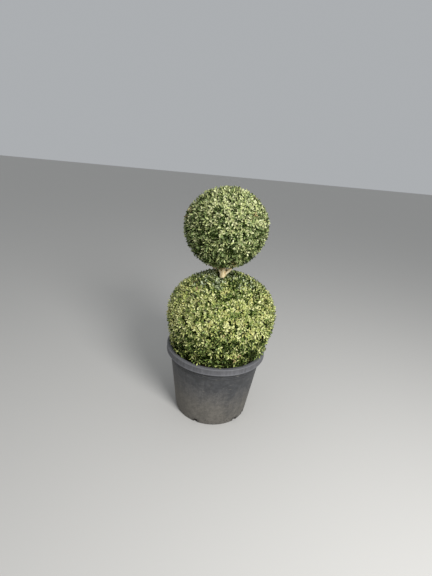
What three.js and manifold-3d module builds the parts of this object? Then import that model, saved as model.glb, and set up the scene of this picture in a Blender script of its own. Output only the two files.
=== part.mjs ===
// A double ball boxwood topiary in a round nursery pot, in millimetres, +Z up.
// The origin is the middle of the pot's flat underside. -Y is the front.
//
// The pot is a tapered plastic tub with a deep rim band and six drain notches round its foot.
// It is filled with potting soil, and the trunk stands on that soil with flared roots.
// The trunk is one leader. It runs up through the lower ball, shows for a hand's breadth above it,
// and ends inside the upper ball. Three short boughs leave it just under the upper ball.
// Each ball of foliage is one clipped mass: a core that clears the trunk, and sprigs that stand
// out of the core up to the clipped outline. A sprig is a three-sided twig with paired leaves.

import * as THREE from 'three';
import { mergeVertices } from 'three/addons/utils/BufferGeometryUtils.js';
import Module from 'manifold-3d';

const wasm = await Module();
wasm.setup();
const { Manifold, Mesh: SolidMesh } = wasm;

// Pot
const POT_HEIGHT = 421;
const RIM_RADIUS = 289;
const RIM_BAND = 36;
const RIM_BEAD = 2.5;
const MOUTH_RADIUS = 269;
const BODY_TOP_RADIUS = 268;
const FOOT_RADIUS = 217;
const FOOT_BEVEL = 7;
const WALL = 4;
const FLOOR = 6;
const POT_SIDES = 64;
const NOTCH = { width: 27, height: 25, depth: 26, angles: [-47.8, -25.4, 69.2, 132.2, 154.6, 249.2] };

// Soil
const SOIL_TOP = 382;
const SOIL_CROWN = 4;
const SOIL_SIDES = 40;

// Every piece stays this far from the one that carries it.
const SEAT_GAP = 0.3;

// Edges shorter than this, left where pieces are joined, are closed up.
const SLIVER = 0.25;

// Trunk and boughs
const TRUNK = {
  sides: 14,
  steps: 22,
  footRadius: 33,
  stemRadius: 19,
  gapRadius: 15,
  tipRadius: 5,
  flareHeight: 70,
  flareLobes: 5,
  tipHeight: 1112,
  sway: [[6, 3], [10, -4], [2, -2], [-3, 1], [-8, 3]],
};
const BOUGHS = [
  { name: 'bough_right', azimuth: -18, rise: 50, length: 112, start: 842 },
  { name: 'bough_left', azimuth: 172, rise: 58, length: 102, start: 850 },
  { name: 'bough_back', azimuth: 84, rise: 52, length: 106, start: 846 },
];
const BOUGH = { sides: 8, rootRadius: 9, tipRadius: 5, bow: 7 };

// The two clipped balls: centre, half width, reach above and below the centre, the share of its
// height by which a ball leans to the right, and the height of a level cut across its underside.
// The upper ball hangs free, so the ground is its cut.
const LOWER = {
  name: 'foliage_lower_ball',
  centre: [13.5, 0, 634],
  halfWidth: 318,
  up: 237,
  down: 360,
  lean: 0.02,
  underside: 388,
  coreDetail: 6,
  sprigs: 74,
  seed: 13,
};
const UPPER = {
  name: 'foliage_upper_ball',
  centre: [-6.5, 0, 1120],
  halfWidth: 229,
  up: 206,
  down: 232,
  lean: 0.023,
  underside: 0,
  coreDetail: 5,
  sprigs: 52,
  seed: 29,
};
const CLIP_WAVE = 0.01;

// Sprigs, larger than life so that a few hundred leaves cover both balls
const SPRIG = { shell: 22, sunk: 10, radius: 3.4, tipShare: 0.45, lean: 0.03, tipDepth: 0.4 };
const LEAF = { widthShare: 0.6, thickness: 3.4, sunk: 1, widest: 0.45, roll: 0.25, wobble: 0.24 };
const LEAF_PAIRS = [
  { foot: 18, side: 43, tip: 3.5 },
  { foot: 8, side: 34, tip: 1.5 },
];
const CLEARANCE = { limb: 6, rimSide: 8, rimTop: 6, soil: 3 };

const MATERIALS = {
  pot: new THREE.MeshStandardMaterial({ color: 0x4b4c4d, roughness: 0.62, metalness: 0 }),
  soil: new THREE.MeshStandardMaterial({ color: 0x5b4634, roughness: 0.95, metalness: 0 }),
  bark: new THREE.MeshStandardMaterial({ color: 0xd6c39a, roughness: 0.85, metalness: 0 }),
  foliage: new THREE.MeshStandardMaterial({ color: 0x5d7a35, roughness: 0.6, metalness: 0 }),
};

const UP = new THREE.Vector3(0, 0, 1);
const radians = THREE.MathUtils.degToRad;

// A seeded stream of numbers from 0 to 1 (the mulberry32 rule).
function seeded(seed) {
  let state = seed >>> 0;
  return () => {
    state = (state + 0x6d2b79f5) >>> 0;
    let t = state;
    t = Math.imul(t ^ (t >>> 15), t | 1);
    t ^= t + Math.imul(t ^ (t >>> 7), t | 61);
    return ((t ^ (t >>> 14)) >>> 0) / 4294967296;
  };
}

// A closed geometry as a solid: vertices welded, and faces of no area dropped.
function solidFrom(geometry) {
  const bare = geometry.clone();
  bare.deleteAttribute('normal');
  bare.deleteAttribute('uv');
  const welded = mergeVertices(bare, 1e-3);
  const index = welded.index.array;
  const kept = [];
  for (let i = 0; i < index.length; i += 3) {
    const [a, b, c] = [index[i], index[i + 1], index[i + 2]];
    if (a !== b && b !== c && c !== a) kept.push(a, b, c);
  }
  return new Manifold(new SolidMesh({
    numProp: 3,
    vertProperties: welded.attributes.position.array,
    triVerts: new Uint32Array(kept),
  }));
}

// A solid as a geometry.
function geometryFrom(solid) {
  const mesh = solid.getMesh();
  const geometry = new THREE.BufferGeometry();
  const positions = new Float32Array(mesh.numVert * 3);
  for (let i = 0; i < mesh.numVert; i++) {
    positions.set(mesh.vertProperties.subarray(i * mesh.numProp, i * mesh.numProp + 3), i * 3);
  }
  geometry.setAttribute('position', new THREE.BufferAttribute(positions, 3));
  geometry.setIndex(new THREE.BufferAttribute(new Uint32Array(mesh.triVerts), 1));
  geometry.computeVertexNormals();
  return geometry;
}

// The largest connected body of a solid, with the slivers that joining leaves smoothed away.
function cleanBody(solid) {
  const bodies = solid.asOriginal().simplify(SLIVER).decompose();
  return bodies.reduce((best, body) => (body.volume() > best.volume() ? body : best));
}

// A turned solid round the Z axis, from [radius, height] points.
function turned(profile, sides) {
  const points = profile.map(([radius, height]) => new THREE.Vector2(radius, height));
  return solidFrom(new THREE.LatheGeometry(points, sides).rotateX(Math.PI / 2));
}

// Pot

function potOuterRadius(height) {
  return FOOT_RADIUS + (BODY_TOP_RADIUS - FOOT_RADIUS) * (height / (POT_HEIGHT - RIM_BAND));
}

function potSolid() {
  const bandFoot = POT_HEIGHT - RIM_BAND;
  const innerFoot = potOuterRadius(FLOOR) - WALL;
  const innerTop = BODY_TOP_RADIUS - WALL;
  const tub = turned([
    [0, 0],
    [FOOT_RADIUS - FOOT_BEVEL, 0],
    [FOOT_RADIUS, FOOT_BEVEL],
    [BODY_TOP_RADIUS, bandFoot],
    [RIM_RADIUS - 2 * RIM_BEAD, bandFoot - 1],
    [RIM_RADIUS, bandFoot + RIM_BEAD],
    [RIM_RADIUS - RIM_BEAD, bandFoot + 3 * RIM_BEAD],
    [RIM_RADIUS - RIM_BEAD, POT_HEIGHT - 4 * RIM_BEAD],
    [RIM_RADIUS - 0.5 * RIM_BEAD, POT_HEIGHT - RIM_BEAD],
    [RIM_RADIUS - 2 * RIM_BEAD, POT_HEIGHT],
    [MOUTH_RADIUS + 2 * RIM_BEAD, POT_HEIGHT],
    [MOUTH_RADIUS, POT_HEIGHT - 1.5 * RIM_BEAD],
    [innerTop, bandFoot],
    [innerFoot, FLOOR],
    [0, FLOOR],
  ], POT_SIDES);
  return tub.subtract(Manifold.union(drainNotches()));
}

function drainNotches() {
  return NOTCH.angles.map((angle) => {
    const box = new THREE.BoxGeometry(2 * NOTCH.depth, NOTCH.width, 2 * NOTCH.height);
    return solidFrom(box.translate(FOOT_RADIUS, 0, 0).rotateZ(radians(angle)));
  });
}

// Soil: it fills the pot, and rises a little towards the trunk.

function soilSolid() {
  const bandFoot = POT_HEIGHT - RIM_BAND;
  const foot = FLOOR + SEAT_GAP;
  const wallGap = WALL + 2 * SEAT_GAP;
  const trunkPlate = 1.6 * TRUNK.footRadius;
  return turned([
    [0, foot],
    [potOuterRadius(foot) - wallGap - 2 * SEAT_GAP, foot],
    [potOuterRadius(SOIL_TOP - SOIL_CROWN) - wallGap, Math.min(SOIL_TOP - SOIL_CROWN, bandFoot)],
    [0.72 * BODY_TOP_RADIUS, SOIL_TOP - 0.4 * SOIL_CROWN],
    [trunkPlate, SOIL_TOP],
    [0, SOIL_TOP],
  ], SOIL_SIDES);
}

// Limbs

// A closed limb along a curve. Radius is a function of the share of the way and of the angle.
// A limb that stands on level ground has its first ring level.
function limbGeometry(curve, steps, sides, radiusAt, levelFoot = false) {
  const rings = [];
  const { normals, binormals } = limbFrames(curve, steps, levelFoot);
  for (let i = 0; i <= steps; i++) {
    const share = i / steps;
    const middle = curve.getPoint(share);
    const ring = [];
    for (let j = 0; j < sides; j++) {
      const angle = (2 * Math.PI * j) / sides;
      const radius = radiusAt(share, angle);
      ring.push(middle.clone()
        .addScaledVector(normals[i], radius * Math.cos(angle))
        .addScaledVector(binormals[i], radius * Math.sin(angle)));
    }
    rings.push(ring);
  }
  return closedTube(rings, curve.getPoint(0), curve.getPoint(1));
}

// Directions across a limb at each step, carried along it without twist.
function limbFrames(curve, steps, levelFoot) {
  const normals = [];
  const binormals = [];
  const first = curve.getTangent(0);
  let normal = new THREE.Vector3(1, 0, 0);
  if (Math.abs(first.x) > 0.8) normal = new THREE.Vector3(0, 1, 0);
  for (let i = 0; i <= steps; i++) {
    const tangent = i === 0 && levelFoot ? UP.clone() : curve.getTangent(i / steps);
    normal = normal.clone().addScaledVector(tangent, -normal.dot(tangent)).normalize();
    normals.push(normal);
    binormals.push(new THREE.Vector3().crossVectors(tangent, normal));
  }
  return { normals, binormals };
}

// Rings of points joined into a tube, closed by a fan at each end.
function closedTube(rings, start, end) {
  const sides = rings[0].length;
  const points = [...rings.flat(), start, end];
  const startIndex = points.length - 2;
  const endIndex = points.length - 1;
  const lastRing = (rings.length - 1) * sides;
  const faces = [];
  for (let j = 0; j < sides; j++) {
    const next = (j + 1) % sides;
    for (let i = 0; i + 1 < rings.length; i++) {
      const [a, b] = [i * sides + j, i * sides + next];
      faces.push(a, b, b + sides, a, b + sides, a + sides);
    }
    faces.push(startIndex, next, j);
    faces.push(endIndex, lastRing + j, lastRing + next);
  }
  return meshGeometry(points, faces);
}

function meshGeometry(points, faces) {
  const geometry = new THREE.BufferGeometry().setFromPoints(points);
  geometry.setIndex(faces);
  return geometry;
}

function trunkCurve() {
  const foot = SOIL_TOP + SEAT_GAP;
  const rise = TRUNK.tipHeight - foot;
  const last = TRUNK.sway.length - 1;
  return new THREE.CatmullRomCurve3(TRUNK.sway.map(
    ([x, y], i) => new THREE.Vector3(x, y, foot + (rise * i) / last),
  ));
}

// The trunk thins evenly up to the bare stretch between the balls, then runs out to its tip.
// Its root flare stands in lobes round the foot.
function trunkRadius(share, angle) {
  const height = share * (TRUNK.tipHeight - SOIL_TOP);
  const bare = LOWER.centre[2] + LOWER.up - SOIL_TOP;
  const top = TRUNK.tipHeight - SOIL_TOP;
  const stem = height < bare
    ? THREE.MathUtils.mapLinear(height, 0, bare, TRUNK.stemRadius, TRUNK.gapRadius)
    : THREE.MathUtils.mapLinear(height, bare, top, TRUNK.gapRadius, TRUNK.tipRadius);
  const flare = Math.exp((-3 * height) / TRUNK.flareHeight);
  const lobe = 1 + 0.3 * Math.cos(TRUNK.flareLobes * angle + 0.6);
  return stem + (TRUNK.footRadius - TRUNK.stemRadius) * flare * lobe;
}

function trunkSolid(extra = 0) {
  const radiusAt = (share, angle) => trunkRadius(share, angle) + extra;
  return solidFrom(limbGeometry(trunkCurve(), TRUNK.steps, TRUNK.sides, radiusAt, true));
}

// The trunk as a cutter: wider by the seat gap, and longer at both ends.
function trunkCutter() {
  const curve = trunkCurve();
  const tip = curve.getPoint(1);
  const cap = new THREE.CylinderGeometry(TRUNK.tipRadius + 1, TRUNK.tipRadius + 1, 4, TRUNK.sides);
  cap.rotateX(Math.PI / 2).translate(tip.x, tip.y, tip.z - 1);
  return trunkSolid(2 * SEAT_GAP).add(solidFrom(cap));
}

function boughCurve(bough) {
  const stem = trunkCurve();
  const foot = stem.getPoint((bough.start - SOIL_TOP) / (TRUNK.tipHeight - SOIL_TOP));
  const azimuth = radians(bough.azimuth);
  const rise = radians(bough.rise);
  const along = new THREE.Vector3(
    Math.cos(azimuth) * Math.cos(rise), Math.sin(azimuth) * Math.cos(rise), Math.sin(rise),
  );
  const middle = foot.clone().addScaledVector(along, bough.length / 2).addScaledVector(UP, -BOUGH.bow);
  const tip = foot.clone().addScaledVector(along, bough.length);
  return new THREE.QuadraticBezierCurve3(foot, middle, tip);
}

function boughSolid(bough, extra = 0) {
  const radiusAt = (share) => THREE.MathUtils.lerp(BOUGH.rootRadius, BOUGH.tipRadius, share) + extra;
  return solidFrom(limbGeometry(boughCurve(bough), 6, BOUGH.sides, radiusAt));
}

// A bough as a cutter: wider by the seat gap, and carried on past its tip by the same gap.
function boughCutter(bough) {
  const curve = boughCurve(bough);
  const tip = curve.getPoint(1);
  const along = curve.getTangent(1);
  const cap = new THREE.CylinderGeometry(BOUGH.tipRadius + 1, BOUGH.tipRadius + 1, 4, BOUGH.sides);
  cap.applyQuaternion(new THREE.Quaternion().setFromUnitVectors(new THREE.Vector3(0, 1, 0), along));
  cap.translate(tip.x - along.x, tip.y - along.y, tip.z - along.z);
  return boughSolid(bough, 2 * SEAT_GAP).add(solidFrom(cap));
}

// Foliage masses

// How far the clipped outline is from the mass's centre in a direction, less an inset. The outline
// is an ellipsoid that leans to one side, with slow waves left by the shears, and it ends at a level
// cut where the mass meets the soil.
function outlineRadius(mass, direction, inset = 0) {
  const flat = Math.hypot(direction.x - mass.lean * direction.z, direction.y) / mass.halfWidth;
  const upright = direction.z / (direction.z < 0 ? mass.down : mass.up);
  const clipped = (1 + CLIP_WAVE * clipWave(mass, direction)) / Math.hypot(flat, upright);
  const toCut = direction.z < 0 ? (mass.underside - mass.centre[2]) / direction.z : Infinity;
  return Math.min(clipped - inset, toCut);
}

// Slow waves from -1.5 to 0, so that a wave never passes the outline.
function clipWave(mass, { x, y, z }) {
  const broad = Math.sin(5.1 * x + 2.3 * y + mass.seed) * Math.sin(4.3 * z + 1.7 * x);
  const fine = Math.sin(9.7 * y - 6.1 * z + 2 * mass.seed);
  return 0.5 * (broad - 1) + 0.25 * (fine - 1);
}

function onOutline(mass, direction, inset) {
  return new THREE.Vector3(...mass.centre)
    .addScaledVector(direction, outlineRadius(mass, direction, inset));
}

// The core is the outline drawn in by the depth of the sprigs, down to the level cut.
function coreSolid(mass) {
  const ball = mergeVertices(new THREE.IcosahedronGeometry(1, mass.coreDetail)
    .deleteAttribute('normal').deleteAttribute('uv'), 1e-4);
  const position = ball.attributes.position;
  for (let i = 0; i < position.count; i++) {
    const direction = new THREE.Vector3().fromBufferAttribute(position, i).normalize();
    const place = onOutline(mass, direction, SPRIG.shell);
    position.setXYZ(i, place.x, place.y, place.z);
  }
  return solidFrom(ball);
}

// Evenly spread directions: a golden-angle spiral, each nudged by the seeded stream.
function sprigDirections(mass, random) {
  const golden = Math.PI * (3 - Math.sqrt(5));
  const directions = [];
  for (let i = 0; i < mass.sprigs; i++) {
    const z = 1 - (2 * (i + 0.5)) / mass.sprigs;
    const turn = golden * i + 0.3 * (random() - 0.5);
    const flat = Math.sqrt(1 - z * z);
    directions.push(new THREE.Vector3(flat * Math.cos(turn), flat * Math.sin(turn), z));
  }
  return directions;
}

function fromCentre(mass, point) {
  return point.clone().sub(new THREE.Vector3(...mass.centre)).normalize();
}

// Whether a point keeps to the mass's own space and clears pot, soil and limbs.
function inSpace(mass, point, limbs) {
  const reach = point.distanceTo(new THREE.Vector3(...mass.centre));
  if (reach > outlineRadius(mass, fromCentre(mass, point))) return false;
  const overWall = Math.hypot(point.x, point.y) > MOUTH_RADIUS - CLEARANCE.rimSide;
  if (overWall && point.z < POT_HEIGHT + CLEARANCE.rimTop) return false;
  if (point.z < SOIL_TOP + CLEARANCE.soil) return false;
  return limbs.every((limb) => limb.every(
    (sample) => sample.point.distanceTo(point) > sample.radius + CLEARANCE.limb,
  ));
}

// A leaf as eight faces: a pointed oval blade from its root to its tip, thickest on its midrib.
function leafPoints(root, tip, across) {
  const along = tip.clone().sub(root);
  const halfWidth = (along.length() * LEAF.widthShare) / 2;
  const face = new THREE.Vector3().crossVectors(along, across).normalize();
  const middle = root.clone().addScaledVector(along, LEAF.widest);
  return [
    root,
    tip,
    middle.clone().addScaledVector(across, halfWidth),
    middle.clone().addScaledVector(across, -halfWidth),
    middle.clone().addScaledVector(face, 0.3 * LEAF.thickness),
    middle.clone().addScaledVector(face, -0.7 * LEAF.thickness),
  ];
}

const LEAF_FACES = [0, 2, 4, 2, 1, 4, 1, 3, 4, 3, 0, 4, 2, 0, 5, 1, 2, 5, 3, 1, 5, 0, 3, 5];

function leafSolid(points) {
  const solid = solidFrom(meshGeometry(points, LEAF_FACES));
  if (solid.volume() > 0) return solid;
  const flipped = LEAF_FACES.map((_, i) => LEAF_FACES[3 * Math.floor(i / 3) + (2 - (i % 3))]);
  return solidFrom(meshGeometry(points, flipped));
}

// One leaf from a foot on the twig out to just under the outline, or null where it would touch a
// limb or the pot.
function sprigLeaf(mass, pair, twigTip, along, outward, wobble, limbs) {
  const foot = twigTip.clone().addScaledVector(along, -pair.foot);
  const beside = twigTip.clone().addScaledVector(outward, pair.side * (1 + wobble(LEAF.wobble)));
  const inset = pair.tip * (1 + wobble(1)) + SPRIG.tipDepth;
  const tip = onOutline(mass, fromCentre(mass, beside), inset);
  const leafAlong = tip.clone().sub(foot).normalize();
  const across = new THREE.Vector3().crossVectors(along, outward)
    .applyAxisAngle(leafAlong, wobble(LEAF.roll)).normalize();
  const root = foot.clone().addScaledVector(leafAlong, -LEAF.sunk);
  const points = leafPoints(root, tip, across);
  const onMidrib = [0.2, 0.7].map((share) => root.clone().lerp(tip, share));
  const clear = [...points.slice(1), ...onMidrib].every((point) => inSpace(mass, point, limbs));
  return clear ? leafSolid(points) : null;
}

// One sprig: a three-sided twig from the core to the outline, and pairs of leaves that each turn a
// quarter from the pair below. There is none on a level cut.
function sprigSolids(mass, direction, random, limbs) {
  const wobble = (reach) => reach * (2 * random() - 1);
  const wobbled = (reach) => new THREE.Vector3(wobble(reach), wobble(reach), wobble(reach));
  const root = onOutline(mass, direction, SPRIG.shell + SPRIG.sunk);
  const tipDirection = direction.clone().add(wobbled(SPRIG.lean)).normalize();
  const tip = onOutline(mass, tipDirection, SPRIG.tipDepth);
  const along = tip.clone().sub(root).normalize();
  const side = wobbled(1).cross(along).normalize();
  if (root.distanceTo(tip) < SPRIG.shell || !inSpace(mass, tip, limbs)) return [];
  const leaves = LEAF_PAIRS.flatMap((pair, i) => [0, Math.PI].map((turn) => {
    const outward = side.clone().applyAxisAngle(along, turn + (i * Math.PI) / 2);
    return sprigLeaf(mass, pair, tip, along, outward, wobble, limbs);
  })).filter((leaf) => leaf !== null);
  if (!leaves.length) return [];
  const radiusAt = (share) => SPRIG.radius * THREE.MathUtils.lerp(1, SPRIG.tipShare, share);
  const twig = solidFrom(limbGeometry(new THREE.LineCurve3(root, tip), 1, 3, radiusAt));
  return [twig, ...leaves];
}

// Points along a limb, with its radius there, for keeping leaves clear of it.
function limbSamples(curve, radiusAt) {
  const steps = 60;
  return Array.from({ length: steps + 1 }, (_, i) => (
    { point: curve.getPoint(i / steps), radius: radiusAt(i / steps) }
  ));
}

function massSolid(mass, cutters, limbs) {
  const random = seeded(mass.seed);
  const sprigs = sprigDirections(mass, random)
    .flatMap((direction) => sprigSolids(mass, direction, random, limbs));
  return cleanBody(Manifold.union([coreSolid(mass), ...sprigs]).subtract(cutters));
}

// Assembly

function piece(name, solid, material) {
  const mesh = new THREE.Mesh(geometryFrom(solid), material);
  mesh.name = name;
  return mesh;
}

const topiary = new THREE.Group();
topiary.name = 'potted_double_ball_boxwood';

const trunk = trunkSolid();
const trunkCut = trunkCutter();
topiary.add(piece('pot', potSolid(), MATERIALS.pot));
topiary.add(piece('soil', soilSolid(), MATERIALS.soil));
topiary.add(piece('trunk', trunk, MATERIALS.bark));
for (const bough of BOUGHS) {
  topiary.add(piece(bough.name, cleanBody(boughSolid(bough).subtract(trunkCut)), MATERIALS.bark));
}

const limbCutters = Manifold.union([trunkCut, ...BOUGHS.map(boughCutter)]);
const limbs = [
  limbSamples(trunkCurve(), (share) => trunkRadius(share, 0)),
  ...BOUGHS.map((bough) => limbSamples(boughCurve(bough), () => BOUGH.rootRadius)),
];
for (const mass of [LOWER, UPPER]) {
  topiary.add(piece(mass.name, massSolid(mass, limbCutters, limbs), MATERIALS.foliage));
}

export default topiary;
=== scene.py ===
import itertools
import math
from functools import partial
from typing import NamedTuple

import bpy
import numpy as np
from bpy.props import EnumProperty, FloatProperty, FloatVectorProperty, IntProperty, PointerProperty
from bpy.types import Operator, Panel, PropertyGroup
from mathutils import Matrix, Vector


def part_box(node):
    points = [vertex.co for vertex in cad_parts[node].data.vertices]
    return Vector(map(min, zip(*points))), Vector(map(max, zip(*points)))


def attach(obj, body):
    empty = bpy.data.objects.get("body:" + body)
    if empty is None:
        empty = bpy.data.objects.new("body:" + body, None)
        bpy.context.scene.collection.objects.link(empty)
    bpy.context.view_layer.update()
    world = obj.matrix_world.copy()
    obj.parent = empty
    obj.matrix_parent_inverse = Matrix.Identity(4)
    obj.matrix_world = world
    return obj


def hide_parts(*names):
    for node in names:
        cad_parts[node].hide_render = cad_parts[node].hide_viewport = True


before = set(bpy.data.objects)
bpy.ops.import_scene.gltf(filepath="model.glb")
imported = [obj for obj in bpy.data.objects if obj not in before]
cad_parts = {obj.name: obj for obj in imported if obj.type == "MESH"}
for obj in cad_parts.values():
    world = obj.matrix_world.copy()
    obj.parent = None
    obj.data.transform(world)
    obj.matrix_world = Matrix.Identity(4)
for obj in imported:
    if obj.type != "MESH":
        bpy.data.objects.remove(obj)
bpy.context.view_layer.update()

bl_info = {
    "name": "Double Ball Boxwood Topiary",
    "version": (1, 0, 0),
    "blender": (4, 5, 0),
    "location": "View3D > Sidebar > Topiary",
    "description": "A clipped double ball boxwood in a nursery pot, made round its packed solids",
    "category": "Object",
}

MM = 0.001

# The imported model's own boxes give the main sizes.
POT_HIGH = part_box("pot")[1]
SOIL_LOW, SOIL_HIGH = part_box("soil")
TRUNK_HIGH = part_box("trunk")[1]


# Settings

def linear(hex_colour):
    """An sRGB hex colour as linear red, green, blue and a full alpha."""
    shares = [int(hex_colour[i:i + 2], 16) / 255 for i in (1, 3, 5)]
    return tuple(s / 12.92 if s <= 0.04045 else ((s + 0.055) / 1.055) ** 2.4 for s in shares) + (1.0,)


def length(name, description, millimetres):
    """A length property in metres whose default is given in millimetres."""
    return FloatProperty(name=name, description=description, default=millimetres * MM,
                         min=0.0, subtype="DISTANCE", unit="LENGTH")


def number(name, description, default, least=1):
    """A whole-number property."""
    return IntProperty(name=name, description=description, default=default, min=least)


def colour(name, description, hex_colour):
    """A colour property whose default is given as sRGB hex."""
    return FloatVectorProperty(name=name, description=description, default=linear(hex_colour),
                               size=4, min=0.0, max=1.0, subtype="COLOR")


class PotSettings(PropertyGroup):
    rim_band: length("Rim band", "Depth of the turned-down rim", 36)
    rim_bead: length("Rim bead", "How far the beads stand out of the band", 2.5)
    mouth_radius: length("Mouth radius", "Inner radius at the top edge", 265)
    body_top_radius: length("Body radius", "Outer radius just under the rim band", 268)
    foot_radius: length("Foot radius", "Outer radius at the foot", 217)
    foot_bevel: length("Foot rounding", "Radius of the rounded foot", 7)
    wall: length("Wall", "Thickness of the moulded wall", 4)
    floor: length("Floor", "Thickness of the pot's floor", 6)
    notch_width: length("Notch width", "Width of a drain notch", 27)
    notch_height: length("Notch height", "Height of a drain notch", 25)
    notch_depth: length("Notch depth", "How far a drain notch runs in under the floor", 26)
    plastic: colour("Plastic", "Clean charcoal plastic", "#3a3b3d")
    # The bleached tone is sun-faded plastic. On the rim band it is also partly painted light, and a paler
    # copy of it paints the highlights on the rim's top edge and lower bead.
    bleached: colour("Bleached plastic", "Plastic of the rim, faded by the sun", "#5c5c5f")
    dust: colour("Dust", "Dried mud and dust towards the foot", "#69655e")


class SoilSettings(PropertyGroup):
    chips: number("Bark chips", "Number of loose bark chips", 3200)
    straws: number("Straws", "Number of straw pieces", 260)
    # The mix and chip colours are moist tones, made darker still as painted shade for the shadow that the
    # lower ball casts on the soil.
    mix: colour("Mix", "Moist fine potting mix", "#221912")
    dark_chip: colour("Dark chip", "Moist bark chip", "#35271b")
    pale_chip: colour("Pale chip", "Dry bark chip", "#664e37")
    straw: colour("Straw", "Dry straw and moss", "#8d8053")


class BarkSettings(PropertyGroup):
    foot_radius: length("Foot radius", "Trunk radius over the root flare", 33)
    stem_radius: length("Stem radius", "Trunk radius above the root flare", 19)
    gap_radius: length("Gap radius", "Trunk radius between the balls", 15)
    tip_radius: length("Tip radius", "Trunk radius at its tip", 5)
    ridge_depth: length("Ridge depth", "Depth of the bark's long ridges", 1.4)
    ridge_width: length("Ridge width", "Width of one bark ridge", 7)
    # Both bark tones are a pale tan pushed close to white: the extra lightness is painted light, standing in
    # for sunlight on the bare trunk between the balls.
    pale: colour("Pale bark", "Raised bark", "#fff1c9")
    deep: colour("Deep bark", "Bark in the furrows", "#dfc48e")


class FoliageSettings(PropertyGroup):
    leaf_length: length("Leaf length", "Length of a full grown leaf", 24)
    leaf_width: length("Leaf width", "Width of a full grown leaf", 10.5)
    lower_shoots: number("Lower shoots", "Directions that shoots of the lower ball take", 3300, 300)
    upper_shoots: number("Upper shoots", "Directions that shoots of the upper ball take", 2150, 300)
    # The deep colour is the dark green of old inner leaves, made darker still as painted shade for the gaps
    # between sprays.
    deep: colour("Deep leaf", "Old leaves inside the ball", "#25340a")
    mid: colour("Mid leaf", "Full grown leaves", "#687a33")
    fresh: colour("Fresh leaf", "This year's leaves", "#a5ad57")
    pale: colour("Pale leaf", "Youngest leaves, yellowish", "#d6d78c")
    golden: colour("Golden leaf", "Leaves that the sun has turned yellow", "#bfba68")
    # Painted shade: grey-green leaves that stand in for the grey cast of the upper ball's shadow on the lower
    # ball's top.
    shade_grey: colour("Silver leaf", "Grey-green leaves in the shade round the stem", "#a7b185")
    dry: colour("Dry leaf", "Dead leaves that still hang", "#a8956a")
    bloom: colour("Bloom", "Grey cast of the upper ball's leaves", "#a9b09f")
    green_wood: colour("Green wood", "Bark of young shoots", "#5f6233")
    brown_wood: colour("Brown wood", "Bark of inner twigs", "#5d4c34")


class StageSettings(PropertyGroup):
    floor_size: length("Floor size", "Side of the square floor", 60000)
    floor: colour("Floor", "Pale matt floor", "#c9c7c3")
    sky: colour("Sky", "Pale soft light from all round", "#eef2f6")
    sky_strength: FloatProperty(name="Sky strength", description="Strength of the light from all round",
                                default=0.48, min=0.0)
    key_power: FloatProperty(name="Key power", description="Power of the large overhead light",
                             default=150.0, min=0.0, unit="POWER")


class TopiarySettings(PropertyGroup):
    pot: PointerProperty(type=PotSettings)
    soil: PointerProperty(type=SoilSettings)
    bark: PointerProperty(type=BarkSettings)
    foliage: PointerProperty(type=FoliageSettings)
    stage: PointerProperty(type=StageSettings)


# Fixed measures

# How far under the rim band the three moulded rings lie, and how high and wide each is
RING_PLACES = (17 * MM, 29 * MM, 41 * MM)
RING_HEIGHT = 1.8 * MM
RING_WIDTH = 7 * MM
# The share of the wall's height above which its rows are close enough for the rings
RING_ZONE = 0.86
# Angles of the drain notches round the foot, in degrees
NOTCH_ANGLES = (-47.8, -25.4, 69.2, 132.2, 154.6, 249.2)
# Where the pot's columns stand at a notch, in halves of the notch's width from its middle
NOTCH_COLUMNS = np.array([-2.0, -1.6, -1.3, -1.12, -1, -0.66, -0.33, 0, 0.33, 0.66, 1, 1.12, 1.3, 1.6, 2.0])
# Columns up to this many halves of its width from a notch's middle belong to the notch
NOTCH_EDGE = 1.001
# How strongly a notch closes in towards its arched top
NOTCH_ARCH = 0.72
# How high the moulded collar round a notch stands, and how far it reaches
COLLAR_HEIGHT = 1.3 * MM
COLLAR_REACH = 4.5 * MM
# How far the wall sways in and out, and how wide a sway is
WALL_SWAY = 0.9 * MM
SWAY_WIDTH = 160 * MM
POT_COLUMNS = 180

SOIL_COLUMNS = 144
# How much lower the soil lies at the wall than in the middle, and its gap to the wall
SOIL_CROWN = 4 * MM
SOIL_GAP = 1.2 * MM
LUMP_HEIGHT = 2.2 * MM
# How near loose chips come to the trunk's middle
CHIP_GAP = 42 * MM
CHIP_CORNERS = np.array(list(itertools.product((-0.5, 0.5), repeat=3)))
CHIP_FACES = np.array([[0, 1, 3, 2], [4, 6, 7, 5], [0, 4, 5, 1], [2, 3, 7, 6], [0, 2, 6, 4], [1, 5, 7, 3]])

# How far the trunk sways sideways, at even steps from its foot to its tip
TRUNK_SWAY = np.array([[6, 3], [10, -4], [2, -2], [-3, 1], [-8, 3]]) * MM
FLARE_HEIGHT = 70 * MM
# The lobes of the root flare, and the share of it by which they swell
FLARE_LOBES, LOBE_SHARE = 5, 0.3
TRUNK_RINGS, TRUNK_SIDES = 300, 72


class Bough(NamedTuple):
    """A main bough: its direction and its rise in degrees, its length, and where it leaves the trunk."""
    node: str
    azimuth: float
    rise: float
    length: float
    start: float


BOUGHS = (
    Bough("bough_right", -18, 50, 112 * MM, 842 * MM),
    Bough("bough_left", 172, 58, 102 * MM, 850 * MM),
    Bough("bough_back", 84, 52, 106 * MM, 846 * MM),
)
BOUGH_ROOT_RADIUS = 9 * MM
BOUGH_TIP_RADIUS = 5 * MM
BOUGH_BOW = 7 * MM
# The swollen collar at a bough's root, and how far it reaches along the bough
BOUGH_COLLAR, BOUGH_COLLAR_REACH = 4 * MM, 22 * MM
BOUGH_RINGS, BOUGH_SIDES = 60, 32


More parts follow.
